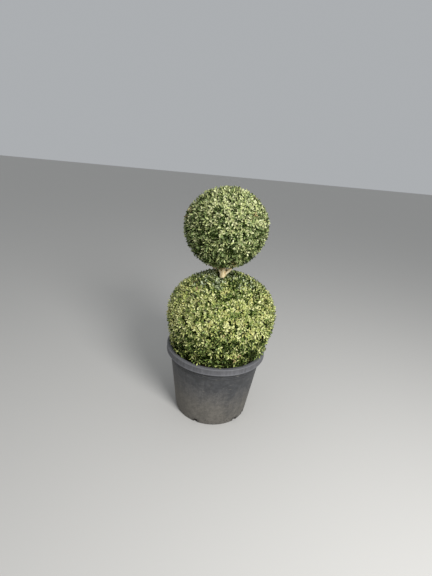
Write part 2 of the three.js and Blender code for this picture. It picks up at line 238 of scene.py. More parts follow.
class Ball(NamedTuple):
    """A clipped ball: the height where it is widest, how far its outline would reach below that, its
    lean to the right as a share of height, the number that sets its waves, the depth of its dark
    hollows and the height of its first limbs. Its leaves: how grey they are, the share of golden
    sprays, how much sprays differ in tone, and how pale they are. Where it has them: the height of a
    dimple round the trunk in its top, how far its underside spreads over the soil, how far a tuft of
    old leaves hangs down round the trunk, and how much paler its sprays are on the crown, on the
    shoulder, round the stem, to the left and to the right. These five are painted light and shade in
    the leaf tones."""
    node: str
    title: str
    waist: float
    down: float
    lean: float
    wave_seed: int
    hollow: float
    first_height: float
    bloom: float
    golden: float
    variety: float
    pale: float
    dimple: float = math.inf
    skirt: float = 0.0
    tuft: float = 0.0
    crown: float = 0.0
    shoulder: float = 0.0
    stem: float = 0.0
    left: float = 0.0
    right: float = 0.0


# crown, shoulder, stem, left and right paint light and shade into the leaf tones
BALLS = {
    "LOWER": Ball("foliage_lower_ball", "lower", waist=634 * MM, down=360 * MM, lean=0.02, wave_seed=13,
                  hollow=28 * MM, first_height=430 * MM, bloom=0.15, golden=0.2, variety=0.84, pale=0.18,
                  dimple=831 * MM, skirt=28 * MM, shoulder=0.36, stem=0.04, left=0.38, right=0.1),
    "UPPER": Ball("foliage_upper_ball", "upper", waist=1120 * MM, down=232 * MM, lean=0.023, wave_seed=29,
                  hollow=30 * MM, first_height=915 * MM, bloom=0.42, golden=0.06, variety=0.74, pale=0.38,
                  tuft=18 * MM, crown=0.24),
}
CLIP_WAVE = 0.01
DIMPLE_SLOPE = 0.42
SKIRT_HEIGHT = 60 * MM
TUFT_SPREAD = 0.4
# How far the clipped outline stands out from the sprigs of the solid
PROUD = 3 * MM
# Where the bare stretch of the trunk ends, and how far leaves keep from it and from other limbs
BARE_TOP = 862 * MM
BARE_GAP, LIMB_GAP = 16 * MM, 4 * MM
# How far dead and live leaves may stand out of the outline
DEAD_SLACK, LIVE_SLACK = 8 * MM, 3 * MM
# Dead leaves hang this high over the bare stretch, and this far round the stem
DEAD_HEIGHT, DEAD_REACH = 90 * MM, 130 * MM
# The shoulder of a ball, as a share of its height over its waist
SHOULDER = 0.25


class LimbLevel(NamedTuple):
    """Limbs of one age inside a ball: how many there are to each shoot, how deep their tips lie under
    the outline, as a share of the ball's radius plus a length, and the form of their tubes."""
    share: float
    depth_share: float
    depth: float
    root_radius: float
    tip_radius: float
    sides: int
    steps: int


# Boughs, branches and twigs
LIMB_LEVELS = (
    LimbLevel(0.007, 0.52, 0.0, 5.0 * MM, 3.2 * MM, 6, 6),
    LimbLevel(0.045, 0.26, 12 * MM, 3.0 * MM, 2.0 * MM, 4, 4),
    LimbLevel(0.26, 0.0, 52 * MM, 1.8 * MM, 1.2 * MM, 3, 3),
)
SHOOT_ROOT_RADIUS = 1.1 * MM
SHOOT_TIP_RADIUS = 0.5 * MM
SHOOT_TIP_DEPTH = 6.5 * MM
SHOOT_SIDES, SHOOT_STEPS = 3, 2
# First limbs leave the trunk up to this share of the ball's height over its waist, and this far under
# the trunk's tip. They rise by a share of their level reach, and sag by a share of their length.
FIRST_TOP, FIRST_TIP_GAP = 0.62, 8 * MM
FIRST_RISE, FIRST_SAG = 0.7, 0.12
# How far along a later limb its bend lies, and how strongly it turns towards its own tip
BEND_PLACE, BEND_TURN = 0.42, 0.6
# Dark hollows: their width, and the noise where they start and over which they reach full depth
HOLLOW_WIDTH = 21 * MM
HOLLOW_START, HOLLOW_SPAN = 0.25, 0.5
# Shoots end at uneven depths, by a gamma curve of this shape and scale. Near the pot's rim this share
# of the depth is left.
DEPTH_SHAPE, DEPTH_SCALE = 2.0, 2.8 * MM
RIM_SHARE = 0.3
# The hidden underside starts this far under the rim's top and inside the mouth
HIDDEN_DEPTH, HIDDEN_INSET = 12 * MM, 70 * MM
# How far limbs, shoots and leaves keep from the pot's wall, from its rim's top and from the soil
LIMB_CLEAR = (5 * MM, 4 * MM, 12 * MM)
SHOOT_CLEAR = (5 * MM, 4 * MM, 4 * MM)
LEAF_CLEAR = (2 * MM, 2 * MM, 1.5 * MM)

# Leaf pairs of one shoot, from its tip down: distance from the tip in millimetres, length as a share
# of a full grown leaf, and how far the leaf spreads from the shoot in degrees
LEAF_PAIRS = np.array([
    [1.5, 0.60, 38],
    [8.0, 0.82, 54],
    [15.5, 0.98, 64],
    [23.5, 1.0, 70],
    [31.5, 1.0, 74],
    [39.5, 0.95, 76],
    [47.5, 0.9, 78],
])

# A leaf's outline: share of its half width, share of the way along it, and lift off its flat plane as
# a share of its length. The middle of the blade stands up, and its tip and edges turn down.
LEAF_OUTLINE = np.array([
    [0.0, 0.00, 0.00],
    [-0.74, 0.25, -0.02],
    [0.74, 0.25, -0.02],
    [-1.0, 0.56, -0.04],
    [1.0, 0.56, -0.04],
    [-0.66, 0.85, -0.08],
    [0.66, 0.85, -0.08],
    [0.0, 1.00, -0.10],
    [0.0, 0.54, 0.045],
])
# How far leaves swing in their turn round the shoot, in their spread and in their roll, in radians
TURN_SWING, SPREAD_SWING, ROLL_SWING = 0.5, 0.45, 0.9
# Triangles from each step of the outline, once round, to the blade's middle
LEAF_RING = np.array([0, 2, 4, 6, 7, 5, 3, 1])
LEAF_FACES = np.stack([LEAF_RING, np.full(8, 8), np.roll(LEAF_RING, -1)], -1)

# Classes of leaf, with the roughness and the share of wax left on each
LEAF_SKINS = {"deep": (0.5, 0.3), "mid": (0.42, 0.7), "fresh": (0.38, 1.0), "pale": (0.38, 1.0),
              "golden": (0.42, 0.8), "shade_grey": (0.4, 1.0), "dry": (0.75, 0.3)}
DEEP, MID, FRESH, PALE, GOLDEN, SHADE_GREY, DRY = range(len(LEAF_SKINS))
# Scores of a spray above which it is mid, fresh and pale
TONE_STEPS = (0.2, 0.46, 0.72)
# Chance that a leaf is one tone paler than its spray, which is also that of one tone darker, and that
# a leaf of a golden spray is still green
TONE_CHANCE, GREEN_CHANCE = 0.3, 0.4
# Pairs, counted from 0 at the tip, from which leaves are one tone darker and from which they are old
DARKER_PAIR, OLD_PAIR = 3, 4
# Chance that a spray at the stem is dead or shade-grey, how far from the stem that chance would have
# fallen by one, and the chance that a spray elsewhere is dead. Shade-grey sprays are painted shade
# that stands in for the upper ball's shadow.
DEAD_CHANCE, DEAD_FALL = 0.75, 180 * MM
SHADE_GREY_CHANCE, SHADE_GREY_FALL = 1.3, 150 * MM
STRAY_DEAD = 0.005

CAMERA_PLACE = (-0.0302, -1.8109, 1.45)
CAMERA_RIGHT = (0.99576, 0.03244, 0.08605)
CAMERA_DOWN = (0.09196, -0.35125, -0.93175)
CAMERA_AHEAD = (0.0, 0.93572, -0.35275)
CAMERA_LENS = 21.5625
KEY_PLACE = (1.65, -2.75, 2.65)
KEY_TARGET = (0, 0, 0.8)
KEY_SIZE = 1.6


# Arrays

def unit(vectors):
    """Each vector divided by its own length."""
    return vectors / np.maximum(np.linalg.norm(vectors, axis=-1, keepdims=True), 1e-12)


def mix(low, high, share):
    """The value a share of the way from low to high."""
    return low + (high - low) * share


def square_to(along, vectors):
    """Unit vectors square to a direction: each vector less its share along it."""
    return unit(vectors - np.sum(vectors * along, -1, keepdims=True) * along)


def turned(radius, angle, height):
    """Points at a radius and an angle round the Z axis, at a height."""
    return np.stack(np.broadcast_arrays(radius * np.cos(angle), radius * np.sin(angle), height), -1)


def even_angles(count):
    """Angles at even steps once round."""
    return 2 * np.pi * np.arange(count) / count


def turn_between(angle, other):
    """The shortest turn from one angle to another, from -pi to pi."""
    return (angle - other + np.pi) % (2 * np.pi) - np.pi


class Curves(NamedTuple):
    """Limbs, each with the direction of its tip from the ball's centre and its curve's three points."""
    directions: np.ndarray
    start: np.ndarray
    bend: np.ndarray
    end: np.ndarray

    def select(self, mask):
        """The curves that a mask picks."""
        return Curves(*(values[mask] for values in self))


def on_curve(start, bend, end, t):
    """Points of quadratic curves, (1-t)^2 start + 2t(1-t) bend + t^2 end, and their directions there."""
    point = (1 - t) ** 2 * start + 2 * t * (1 - t) * bend + t ** 2 * end
    return point, unit(2 * (1 - t) * (bend - start) + 2 * t * (end - bend))


def lattice_value(cells, seed):
    """A repeatable value from -1 to 1 for each whole-number cell: its numbers are multiplied by large
    odd numbers, added, and stirred by shifts."""
    a, b, c = (cells[..., i].astype(np.uint32) for i in range(3))
    mixed = a * np.uint32(374761393) + b * np.uint32(668265263) + c * np.uint32(2246822519)
    mixed = mixed + np.uint32(seed * 97 + 11) * np.uint32(3266489917)
    mixed = (mixed ^ (mixed >> np.uint32(13))) * np.uint32(1274126177)
    mixed = mixed ^ (mixed >> np.uint32(16))
    return mixed.astype(np.float64) / 2147483647.5 - 1.0


def smooth_noise(points, cell, seed):
    """Soft noise from -1 to 1: cell values blended between the corners of a cubic lattice by the
    curve 3t^2 - 2t^3 along each axis."""
    scaled = points / cell + 1000.0
    base = np.floor(scaled)
    share = scaled - base
    share = share * share * (3 - 2 * share)
    total = np.zeros(points.shape[:-1])
    for corner in itertools.product((0, 1), repeat=3):
        weight = np.prod(np.where(corner, share, 1 - share), axis=-1)
        total += weight * lattice_value(base.astype(np.int64) + corner, seed)
    return total


def grid_quads(rows, columns):
    """Quads of a grid of points laid row by row, whose last column joins its first."""
    row, column = np.meshgrid(np.arange(rows - 1), np.arange(columns), indexing="ij")
    a, b = row * columns + column, row * columns + (column + 1) % columns
    return np.stack([a, b, b + columns, a + columns], -1)


def repeat_faces(faces, size, count):
    """The faces of a shape that has so many points, for a number of such shapes in a row."""
    return (faces + size * np.arange(count)[:, None, None]).reshape(-1, faces.shape[-1])


def closed_grid(places, poles, quads=None):
    """Points and faces of a turned grid, with one fan of triangles from its first row to the first
    pole and one from its last row to the second."""
    rows, columns = places.shape[:2]
    if quads is None:
        quads = grid_quads(rows, columns).reshape(-1, 4)
    around = np.arange(columns)
    after = (around + 1) % columns
    last = (rows - 1) * columns
    first_pole, last_pole = (np.full(columns, rows * columns + i) for i in range(2))
    fans = [np.stack([first_pole, after, around], -1), np.stack([last_pole, last + around, last + after], -1)]
    return np.concatenate([places.reshape(-1, 3), poles]), [quads, np.concatenate(fans)]


def rings(middle, along, side, radius):
    """Points on rings square to a line, and their directions from it: at even angles a, the radius
    times cos a of the side plus sin a of along cross side."""
    angle = even_angles(radius.shape[-1])[:, None]
    around = np.cos(angle) * side[..., None, :] + np.sin(angle) * np.cross(along, side)[..., None, :]
    return middle[..., None, :] + radius[..., None] * around, around


def tubes(curves, root_radius, tip_radius, sides, steps):
    """Closed tapering tubes along curves, all at once, each with flat ends."""
    count, size = len(curves.end), (steps + 1) * sides
    t = np.linspace(0, 1, steps + 1)[:, None]
    middle, along = on_curve(*(places[:, None] for places in curves[1:]), t)
    chord = unit(curves.end - curves.start)
    axis = np.eye(3)[np.argmin(np.abs(chord), axis=1)]
    side = square_to(along, unit(np.cross(chord, axis))[:, None])
    points, _ = rings(middle, along, side, np.tile(mix(root_radius, tip_radius, t), sides))
    ends = np.array([np.arange(sides)[::-1], np.arange(size - sides, size)])
    quads = grid_quads(steps + 1, sides).reshape(-1, 4)
    return points.reshape(-1, 3), [repeat_faces(faces, size, count) for faces in (quads, ends)]


def join(parts):
    """Several (points, faces) pairs as one, with each part's indices moved past those before it."""
    points = np.concatenate([p for p, _ in parts])
    offsets = np.concatenate([[0], np.cumsum([len(p) for p, _ in parts])[:-1]])
    faces = [f + offset for (_, lists), offset in zip(parts, offsets) for f in lists]
    return points, faces


def add_object(name, data):
    """Puts an object with this data in the scene."""
    made = bpy.data.objects.new(name, data)
    bpy.context.scene.collection.objects.link(made)
    return made


def make_piece(name, surface, material, node, uv=None):
    """A shown piece from a surface, which is its points and a list of index arrays, each with its own
    corner count. The uv gives one place per point. The piece rides with the plant and replaces a
    solid."""
    points, faces = surface
    corners = np.concatenate([f.ravel() for f in faces]).astype(np.int32)
    counts = np.concatenate([np.full(len(f), f.shape[1]) for f in faces])
    starts = np.concatenate([[0], np.cumsum(counts)[:-1]]).astype(np.int32)
    mesh = bpy.data.meshes.new(name)
    mesh.vertices.add(len(points))
    mesh.vertices.foreach_set("co", np.ascontiguousarray(points, np.float32).ravel())
    mesh.loops.add(len(corners))
    mesh.loops.foreach_set("vertex_index", corners)
    mesh.polygons.add(len(starts))
    mesh.polygons.foreach_set("loop_start", starts)
    if uv is not None:
        layer = mesh.uv_layers.new(name="UVMap")
        layer.data.foreach_set("uv", np.ascontiguousarray(uv[corners], np.float32).ravel())
    mesh.update(calc_edges=True)
    mesh.validate()
    mesh.shade_smooth()
    mesh.materials.append(material)
    piece = add_object(name, mesh)
    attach(piece, "root")
    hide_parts(node)


# Materials

# Sockets of the node that mixes two colours, and the settings of that node and of a smooth remap
FACTOR, FIRST, SECOND, MIXED = 0, 6, 7, 2
COLOURS = {"data_type": "RGBA"}
SMOOTH = {"interpolation_type": "SMOOTHSTEP"}


def add_node(tree, kind, inputs=(), output=0, **properties):
    """Adds one node, sets its properties, links the inputs that are given as sockets, sets the others
    to their values, and gives the wanted output. Inputs are given in order or by their keys."""
    node = tree.nodes.new("ShaderNode" + kind)
    for name, value in properties.items():
        setattr(node, name, value)
    for key, value in inputs.items() if isinstance(inputs, dict) else enumerate(inputs):
        if isinstance(value, bpy.types.NodeSocket):
            tree.links.new(value, node.inputs[key])
        else:
            node.inputs[key].default_value = value
    return node.outputs[output] if len(node.outputs) else node


def new_material(name, surface, *details):
    """A material with one Principled shader, whose inputs are what the surface's own function gives."""
    material = bpy.data.materials.new(name)
    material.use_nodes = True
    tree = material.node_tree
    tree.nodes.clear()
    node = partial(add_node, tree)
    shader = node("BsdfPrincipled", surface(node, *details))
    node("OutputMaterial", {"Surface": shader})
    return material


def toned(rgba, amount=1.0):
    """A colour made lighter or darker by a factor."""
    return tuple(min(1.0, channel * amount) for channel in rgba[:3]) + (1.0,)


def polyethylene(node, pot):
    """Blow-moulded polyethylene nursery pot: matt charcoal with a fine cast grain. The sun has bleached
    the rim band, whose paler tone is also partly painted light, and painted highlights lie on its top
    edge and its lower bead. Painted shade darkens the wall under the rim band and in a thin line under
    each moulded ring. Towards the foot dried dust lies in clouds, with streaks that rain has drawn,
    scuffs and splashes of mud, and a painted side-to-side ramp of light puts more of the dust on the
    left side and less on the right. At the drain notches lie wet stains, which also paint shade on the
    notches' inner faces."""
    rim_top, rim_foot = POT_HIGH.z, rim_foot_height(pot)
    places = node("TexCoord", output="Object")
    sideways, height = (node("SeparateXYZ", (places,), axis) for axis in "XZ")
    even, downward, level = (1, 1, 1), (1, 1, 0.14), (0.25, 0.25, 1.8)
    # Stretch of each pattern, width of its blobs, detail and roughness
    streaks, clouds, blots, splashes, specks, scratches, cast = (
        node("TexNoise", {"Vector": node("Mapping", {"Vector": places, "Scale": stretch}),
                          "Scale": 1 / size, "Detail": detail, "Roughness": roughness})
        for stretch, size, detail, roughness in (
            (downward, 15 * MM, 4, 0.55),
            (even, 75 * MM, 5, 0.6),
            (even, 24 * MM, 5, 0.65),
            (even, 9 * MM, 4, 0.55),
            (even, 7 * MM, 3, 0.7),
            (level, 9 * MM, 4, 0.55),
            (even, 1.6 * MM, 2, 0.55),
        )
    )
    # What each share follows, where it starts and ends, and its values there
    share = {name: node("MapRange", row, **SMOOTH) for name, *row in (
        ("low", height, 0.2 * rim_foot, 1.02 * rim_foot, 1, 0),
        # painted light: a side-to-side ramp, more dust share on the left and less on the right, evens out the
        # light from the right
        ("left", sideways, -pot.foot_radius, pot.foot_radius, 0.14, -0.3),
        ("clouded", clouds, 0.3, 0.7, -0.2, 0.2),
        ("washed", streaks, 0.3, 0.7, -0.13, 0.13),
        ("blotted", blots, 0.36, 0.64),
        ("hazy", height, 0.25 * rim_foot, 0.8 * rim_foot),
        ("scuffed", scratches, 0.6, 0.7, 0, 0.4),
        ("near foot", height, 0, 90 * MM, 1, 0),
        ("splashed", splashes, 0.58, 0.66),
        ("stained", splashes, 0.35, 0.6, 0.3, 1),
        # painted shadow: the wall darkens just under the rim band
        ("under rim", height, rim_foot - 34 * MM, rim_foot - 2 * MM, 0, 0.85),
        ("on rim", height, rim_foot - 1 * MM, rim_foot + 1 * MM),
        ("worn", streaks, 0.3, 0.7),
        # painted highlights on the rim's top edge and on its lower bead
        ("on edge", height, rim_top - 6 * MM, rim_top - 2 * MM, 0, 0.8),
        ("on bead", height, rim_foot + 3 * MM, rim_foot + 9 * MM, 0.55, 0),
        ("dull", blots, 0.3, 0.7, 0.5, 0.62),
    )}
    # The dust share is real dust towards the foot and in clouds and streaks, plus the painted side-to-side
    # ramp of light.
    dust = share["low"]
    for name in ("clouded", "washed", "left"):
        dust = node("Math", (dust, share[name]), operation="ADD")
    dust = node("MapRange", (dust, 0, 1, 0, 0.95), **SMOOTH)
    speckled = node("Math", (specks, 0.45), operation="MULTIPLY")
    mottled = node("Math", (blots, 0.55, speckled), operation="MULTIPLY_ADD")
    mud = node("Math", (share["near foot"], share["splashed"]), operation="MULTIPLY")
    # Round each drain notch: a real wet stain, and painted shade that darkens the notch's inner faces.
    wet_and_notch_shade = node("Math", (notch_stain_and_shade(node, places, pot), share["stained"]), operation="MULTIPLY")
    # Painted shade: the wall under the rim band, and a thin line under each moulded ring, darken where shadow
    # falls.
    shade = share["under rim"]
    for below in RING_PLACES:
        away = node("Math", (height, rim_foot - below - 4 * MM), operation="SUBTRACT")
        away = node("Math", (away,), operation="ABSOLUTE")
        under_ring = node("MapRange", (away, 0, 3 * MM, 0.9, 0), **SMOOTH)
        shade = node("Math", (shade, under_ring), operation="MAXIMUM")
    # Each colour: the share of the second over the first
    blend = {}
    for name, factor, first, second in (
        ("plain", share["blotted"], toned(pot.plastic, 0.75), toned(pot.plastic, 1.25)),
        ("hazy", share["hazy"], toned(pot.dust), toned(pot.bleached)),
        ("dull", 0.45, "hazy", toned(pot.dust, 0.35)),
        ("pale", 0.3, "hazy", toned(pot.dust, 1.45)),
        ("powder", node("MapRange", (mottled, 0.36, 0.64), **SMOOTH), "dull", "pale"),
        ("dusty", dust, "plain", "powder"),
        ("scuffed", share["scuffed"], "dusty", toned(pot.dust, 1.5)),
        # mud splashes, and at the notches wet stains with painted shade
        ("muddy", node("Math", (mud, wet_and_notch_shade), operation="MAXIMUM"), "scuffed", toned(pot.dust, 0.3)),
        # painted shade: the shade share turns the wall towards dark plastic
        ("wall", shade, "muddy", toned(pot.plastic, 0.42)),
        ("worn", share["worn"], toned(pot.bleached, 0.74), toned(pot.bleached, 1.1)),
        # painted highlights: the rim's top edge and lower bead paler than the band
        ("rim", node("Math", (share["on edge"], share["on bead"]), operation="MAXIMUM"), "worn",
         toned(pot.bleached, 1.45)),
        ("whole", share["on rim"], "wall", "rim"),
    ):
        mixed = {FACTOR: factor, FIRST: blend.get(first, first), SECOND: blend.get(second, second)}
        blend[name] = node("Mix", mixed, MIXED, **COLOURS)
    grain = node("Math", (splashes, 2, cast), operation="MULTIPLY_ADD")
    return {
        "Base Color": blend["whole"],
        "Roughness": node("Math", (dust, 0.25, share["dull"]), operation="MULTIPLY_ADD"),
        "Normal": node("Bump", {"Distance": 0.25 * MM, "Height": grain}),
        "IOR": 1.5,
    }


def notch_stain_and_shade(node, places, pot):
    """How near a place is to a drain notch, from 0 at 34 mm from its middle to 1 at 12 mm."""
    stain = 0.0
    for angle in np.radians(NOTCH_ANGLES):
        middle = (pot.foot_radius * math.cos(angle), pot.foot_radius * math.sin(angle), pot.notch_height / 2)
        away = node("VectorMath", (places, middle), "Value", operation="DISTANCE")
        near = node("MapRange", (away, 12 * MM, 34 * MM, 1, 0), **SMOOTH)
        stain = node("Math", (stain, near), operation="MAXIMUM")
    return stain


def grown_finish(node, tone, dark, light, gloss, height, depth):
    """What the finishes of grown things share: a tone pattern blends the dark colour to the light one,
    a gloss pattern sets the roughness, and a height pattern makes relief of a depth in metres."""
    share = node("MapRange", tone, **SMOOTH)
    return {
        "Base Color": node("Mix", {FACTOR: share, FIRST: dark, SECOND: light}, MIXED, **COLOURS),
        "Roughness": node("MapRange", gloss, **SMOOTH),
        "Normal": node("Bump", {"Distance": depth, "Height": height}),
    }


def moist_grains(node, rgba, width, depth):
    """Moist bark and fibre: a dull surface with dark pores and paler, drier grains."""
    places = node("TexCoord", output="Object")
    grains = node("TexNoise", {"Vector": places, "Scale": 1 / width, "Detail": 5, "Roughness": 0.7})
    damp = node("TexNoise", {"Vector": places, "Scale": 1 / (8 * width), "Detail": 2, "Roughness": 0.55})
    finish = grown_finish(node, (grains, 0.35, 0.65), toned(rgba, 0.5), toned(rgba, 1.5),
                          (damp, 0.3, 0.7, 0.6, 0.95), grains, depth)
    return {**finish, "IOR": 1.4}


def live_bark(node, bark):
    """Bark of an old live stem: pale corky ridges that run along the stem, with darker furrows."""
    places = node("TexCoord", output="Object")
    along = node("Mapping", {"Vector": places, "Scale": (1, 1, 0.16)})
    ridges = node("TexNoise", {"Vector": along, "Scale": 1 / bark.ridge_width, "Detail": 5,
                               "Roughness": 0.65})
    flakes = node("TexNoise", {"Vector": places, "Scale": 1 / (2.5 * MM), "Detail": 3, "Roughness": 0.55})
    raised = node("Math", (flakes, 0.3, ridges), operation="MULTIPLY_ADD")
    finish = grown_finish(node, (raised, 0.48, 0.78), toned(bark.deep), toned(bark.pale),
                          (flakes, 0.3, 0.7, 0.7, 0.92), raised, 0.8 * MM)
    return {**finish, "IOR": 1.4}


def young_bark(node, rgba):
    """Smooth thin bark of twigs, faintly ribbed, in two close tones."""
    places = node("TexCoord", output="Object")
    patches = node("TexNoise", {"Vector": places, "Scale": 1 / (9 * MM), "Detail": 3, "Roughness": 0.55})
    ribs = node("TexNoise", {"Vector": places, "Scale": 1 / (1.2 * MM), "Detail": 2, "Roughness": 0.55})
    finish = grown_finish(node, (patches, 0.3, 0.7), toned(rgba, 0.65), toned(rgba, 1.25),
                          (patches, 0.3, 0.7, 0.55, 0.8), ribs, 0.2 * MM)
    return {**finish, "IOR": 1.45}


def waxy_leaf(node, rgba, roughness, wax):
    """A leathery evergreen leaf with a wax skin: soft gloss, a paler midrib and leaf-to-leaf tone. The
    wax is thick on this year's leaves, and worn thin on old and dry ones, which show their colour
    more deeply."""
    places = node("TexCoord", output="Object")
    tone = node("TexNoise", {"Vector": places, "Scale": 1 / (11 * MM), "Detail": 1, "Roughness": 0.55})
    skin = node("TexNoise", {"Vector": places, "Scale": 1 / (3 * MM), "Detail": 2, "Roughness": 0.55})
    finish = grown_finish(node, (tone, 0.32, 0.68), toned(rgba, 0.72), toned(rgba, 1.3),
                          (skin, 0.3, 0.7, roughness - 0.06, roughness + 0.1), skin, 0.15 * MM)
    across = node("SeparateXYZ", (node("UVMap", uv_map="UVMap"),), "X")
    from_rib = node("Math", (across, 0.5), operation="SUBTRACT")
    from_rib = node("Math", (from_rib,), operation="ABSOLUTE")
    rib = node("MapRange", (from_rib, 0.02, 0.09, 0.45, 0), **SMOOTH)
    veined = {FACTOR: rib, FIRST: finish["Base Color"], SECOND: toned(rgba, 1.9)}
    finish["Base Color"] = node("Mix", veined, MIXED, **COLOURS)
    return {**finish, "IOR": 1.45, "Coat Weight": 0.15 * wax, "Coat Roughness": 0.35,
            "Specular IOR Level": 0.5 * wax}


def floor_paint(node, rgba):
    """Matt paint of the studio floor."""
    return {"Base Color": toned(rgba), "Roughness": 0.85}


# Pot

def rim_foot_height(pot):
    """Height of the rim band's lower edge."""
    return POT_HIGH.z - pot.rim_band


def wall_rows(pot, heights, inward):
    """Section rows (radius, height) that lie a way in from the body's outer face. The body widens
    evenly from the foot to the rim band."""
    heights = np.asarray(heights, float)
    radius = mix(pot.foot_radius, pot.body_top_radius, heights / rim_foot_height(pot))
    return np.stack([radius - inward, heights], -1)


def rounded(low_radius, high_radius, height, half_height, degrees):
    """Points round an upright ellipse between two radii, at the given angles."""
    turn = np.radians(degrees)
    middle, half = (low_radius + high_radius) / 2, (high_radius - low_radius) / 2
    return np.stack([middle + half * np.cos(turn), height + half_height * np.sin(turn)], -1)


def ring_relief(heights, rim_foot):
    """Three shallow moulded rings under the rim, each a raised cosine."""
    away = np.abs(heights[:, None] - rim_foot + RING_PLACES) / (RING_WIDTH / 2)
    return RING_HEIGHT * np.max(0.5 + 0.5 * np.cos(np.pi * np.clip(away, 0, 1)), axis=1)


def pot_profile(pot):
    """The pot's section as (radius, height) rows, from the middle of its underside, out and up the
    wall, round the hollow rim, and down the inside to the middle of its floor. Also gives the rows
    where a drain notch starts and ends, outside and inside."""
    top, rim_foot = POT_HIGH.z, rim_foot_height(pot)
    band, bead, bevel, floor = pot.rim_band, pot.rim_bead, pot.foot_bevel, pot.floor
    body_top, mouth = pot.body_top_radius, pot.mouth_radius
    notch_start = pot.foot_radius - pot.notch_depth
    notch_rows = 0.7 * pot.notch_height, pot.notch_height
    foot = rounded(pot.foot_radius - 2 * bevel, pot.foot_radius, bevel, bevel, (-90, -60, -30, 0))
    foot_step = mix(notch_start, foot[0, 0], 0.6)
    under = [[0.25 * notch_start, 0], [0.65 * notch_start, 0]]
    outer_zone = [[notch_start, 0], [foot_step, 0], *foot, *wall_rows(pot, notch_rows, 0)]
    body = np.linspace(pot.notch_height, RING_ZONE * rim_foot, 20)[1:]
    ringed = np.linspace(RING_ZONE * rim_foot, rim_foot, 38)[1:]
    # The rim is hollow: its skin turns down outside the wall, and is a little thinner than the wall.
    edge = POT_HIGH.x
    face = edge - bead
    behind = face - (pot.wall - 1 * MM)
    inner_mouth = mouth + pot.wall
    rim = [
        [mix(body_top, inner_mouth, 0.45), rim_foot + 0.4 * band],
        [inner_mouth - 1 * MM, top - 3 * bead],
        [inner_mouth + 1 * MM, top - 1.8 * bead],
        [behind - 2 * MM, top - 1.8 * bead],
        [behind, top - 2.6 * bead],
        [behind, rim_foot + 2.4 * bead],
        *rounded(behind, edge, rim_foot + bead, bead, (-170, -130, -90, -50, -10, 30)),
        [face, rim_foot + 3.2 * bead],
        [face, rim_foot + 0.5 * band],
        [face, top - 3.4 * bead],
        *rounded(face - 0.5 * bead, edge - 0.4 * bead, top - bead, bead, (-30, 10, 50, 90)),
        [mix(face, mouth, 0.55), top],
        *rounded(mouth, mouth + 2.4 * bead, top - 1.2 * bead, 1.2 * bead, (90, 130, 170)),
    ]
    inner_top = body_top - pot.wall
    inside = [[mix(inner_top, mouth, 0.5), mix(rim_foot, top, 0.45)], [inner_top, rim_foot],
              *wall_rows(pot, body[::-3][1:], pot.wall)]
    corner = wall_rows(pot, [floor], pot.wall)[0]
    inner_zone = [[notch_start, floor], [foot_step, floor],
                  *(corner + np.array([[-3, 0], [-1.6, 0.4], [-0.5, 1.4], [0, 3]]) * MM),
                  *wall_rows(pot, notch_rows, pot.wall)]
    middle = [[0.65 * notch_start, floor], [0.25 * notch_start, floor]]
    rows = np.concatenate([
        under, outer_zone, wall_rows(pot, body, 0), wall_rows(pot, ringed, -ring_relief(ringed, rim_foot)),
        rim, inside, inner_zone[::-1], middle,
    ])
    outer = len(under), len(under) + len(outer_zone) - 1
    inner_low = len(rows) - len(middle) - 1
    return rows, outer, (inner_low, inner_low - len(inner_zone) + 1)


def pot_angles(centres, half):
    """Angles once round the pot, from a place without a notch: even ones, and closer ones at each
    notch, whose half width is given as an angle."""
    local = (centres[:, None] + half * NOTCH_COLUMNS).ravel()
    even = centres[0] - 5 * half + even_angles(POT_COLUMNS)
    gap = np.abs(turn_between(even[:, None], centres)).min(1)
    return np.sort(np.concatenate([local, even[gap > 2.25 * half]]))


def pot_surface(pot):
    """The pot as a turned grid: rows of the section times angles. The columns at a notch close in
    towards its arched top, by the square root of 1 - arch h^3, a collar stands out round it that
    fades as exp(-d^2), and soft noise sways the wall."""
    rows, outer, inner = pot_profile(pot)
    centres = np.radians(NOTCH_ANGLES)
    half = pot.notch_width / 2 / pot.foot_radius
    angles = pot_angles(centres, half)
    radius, height = rows[:, :1], rows[:, 1:]
    arch = np.sqrt(1 - NOTCH_ARCH * np.clip(height / pot.notch_height, 0, 1) ** 3)
    arch = np.where(height > pot.notch_height + 1e-6, 1.0, arch)
    above = np.maximum(height - pot.notch_height, 0)
    theta = np.tile(angles, (len(rows), 1))
    collar = np.zeros_like(theta)
    for centre in centres:
        away = turn_between(angles, centre)
        theta = np.where(np.abs(away) <= NOTCH_EDGE * half, centre + away * arch, theta)
        beside = np.maximum(np.abs(away) - half * arch, 0) * pot.foot_radius
        collar += np.exp(-((beside ** 2 + above ** 2) / COLLAR_REACH ** 2))
    index = np.arange(len(rows))[:, None]
    on_wall = (index >= outer[0] + 4) & (index < len(rows) // 2) & (height < 2.5 * pot.notch_height)
    radius = radius + COLLAR_HEIGHT * collar * on_wall
    places = turned(radius, theta, height)
    sway = smooth_noise(places * [1, 1, 0.6], SWAY_WIDTH, 5)
    places[..., :2] *= (1 + WALL_SWAY * sway / np.maximum(radius, 50 * MM))[..., None]
    return places, notched_quads(len(rows), outer, inner, angles, centres, half)


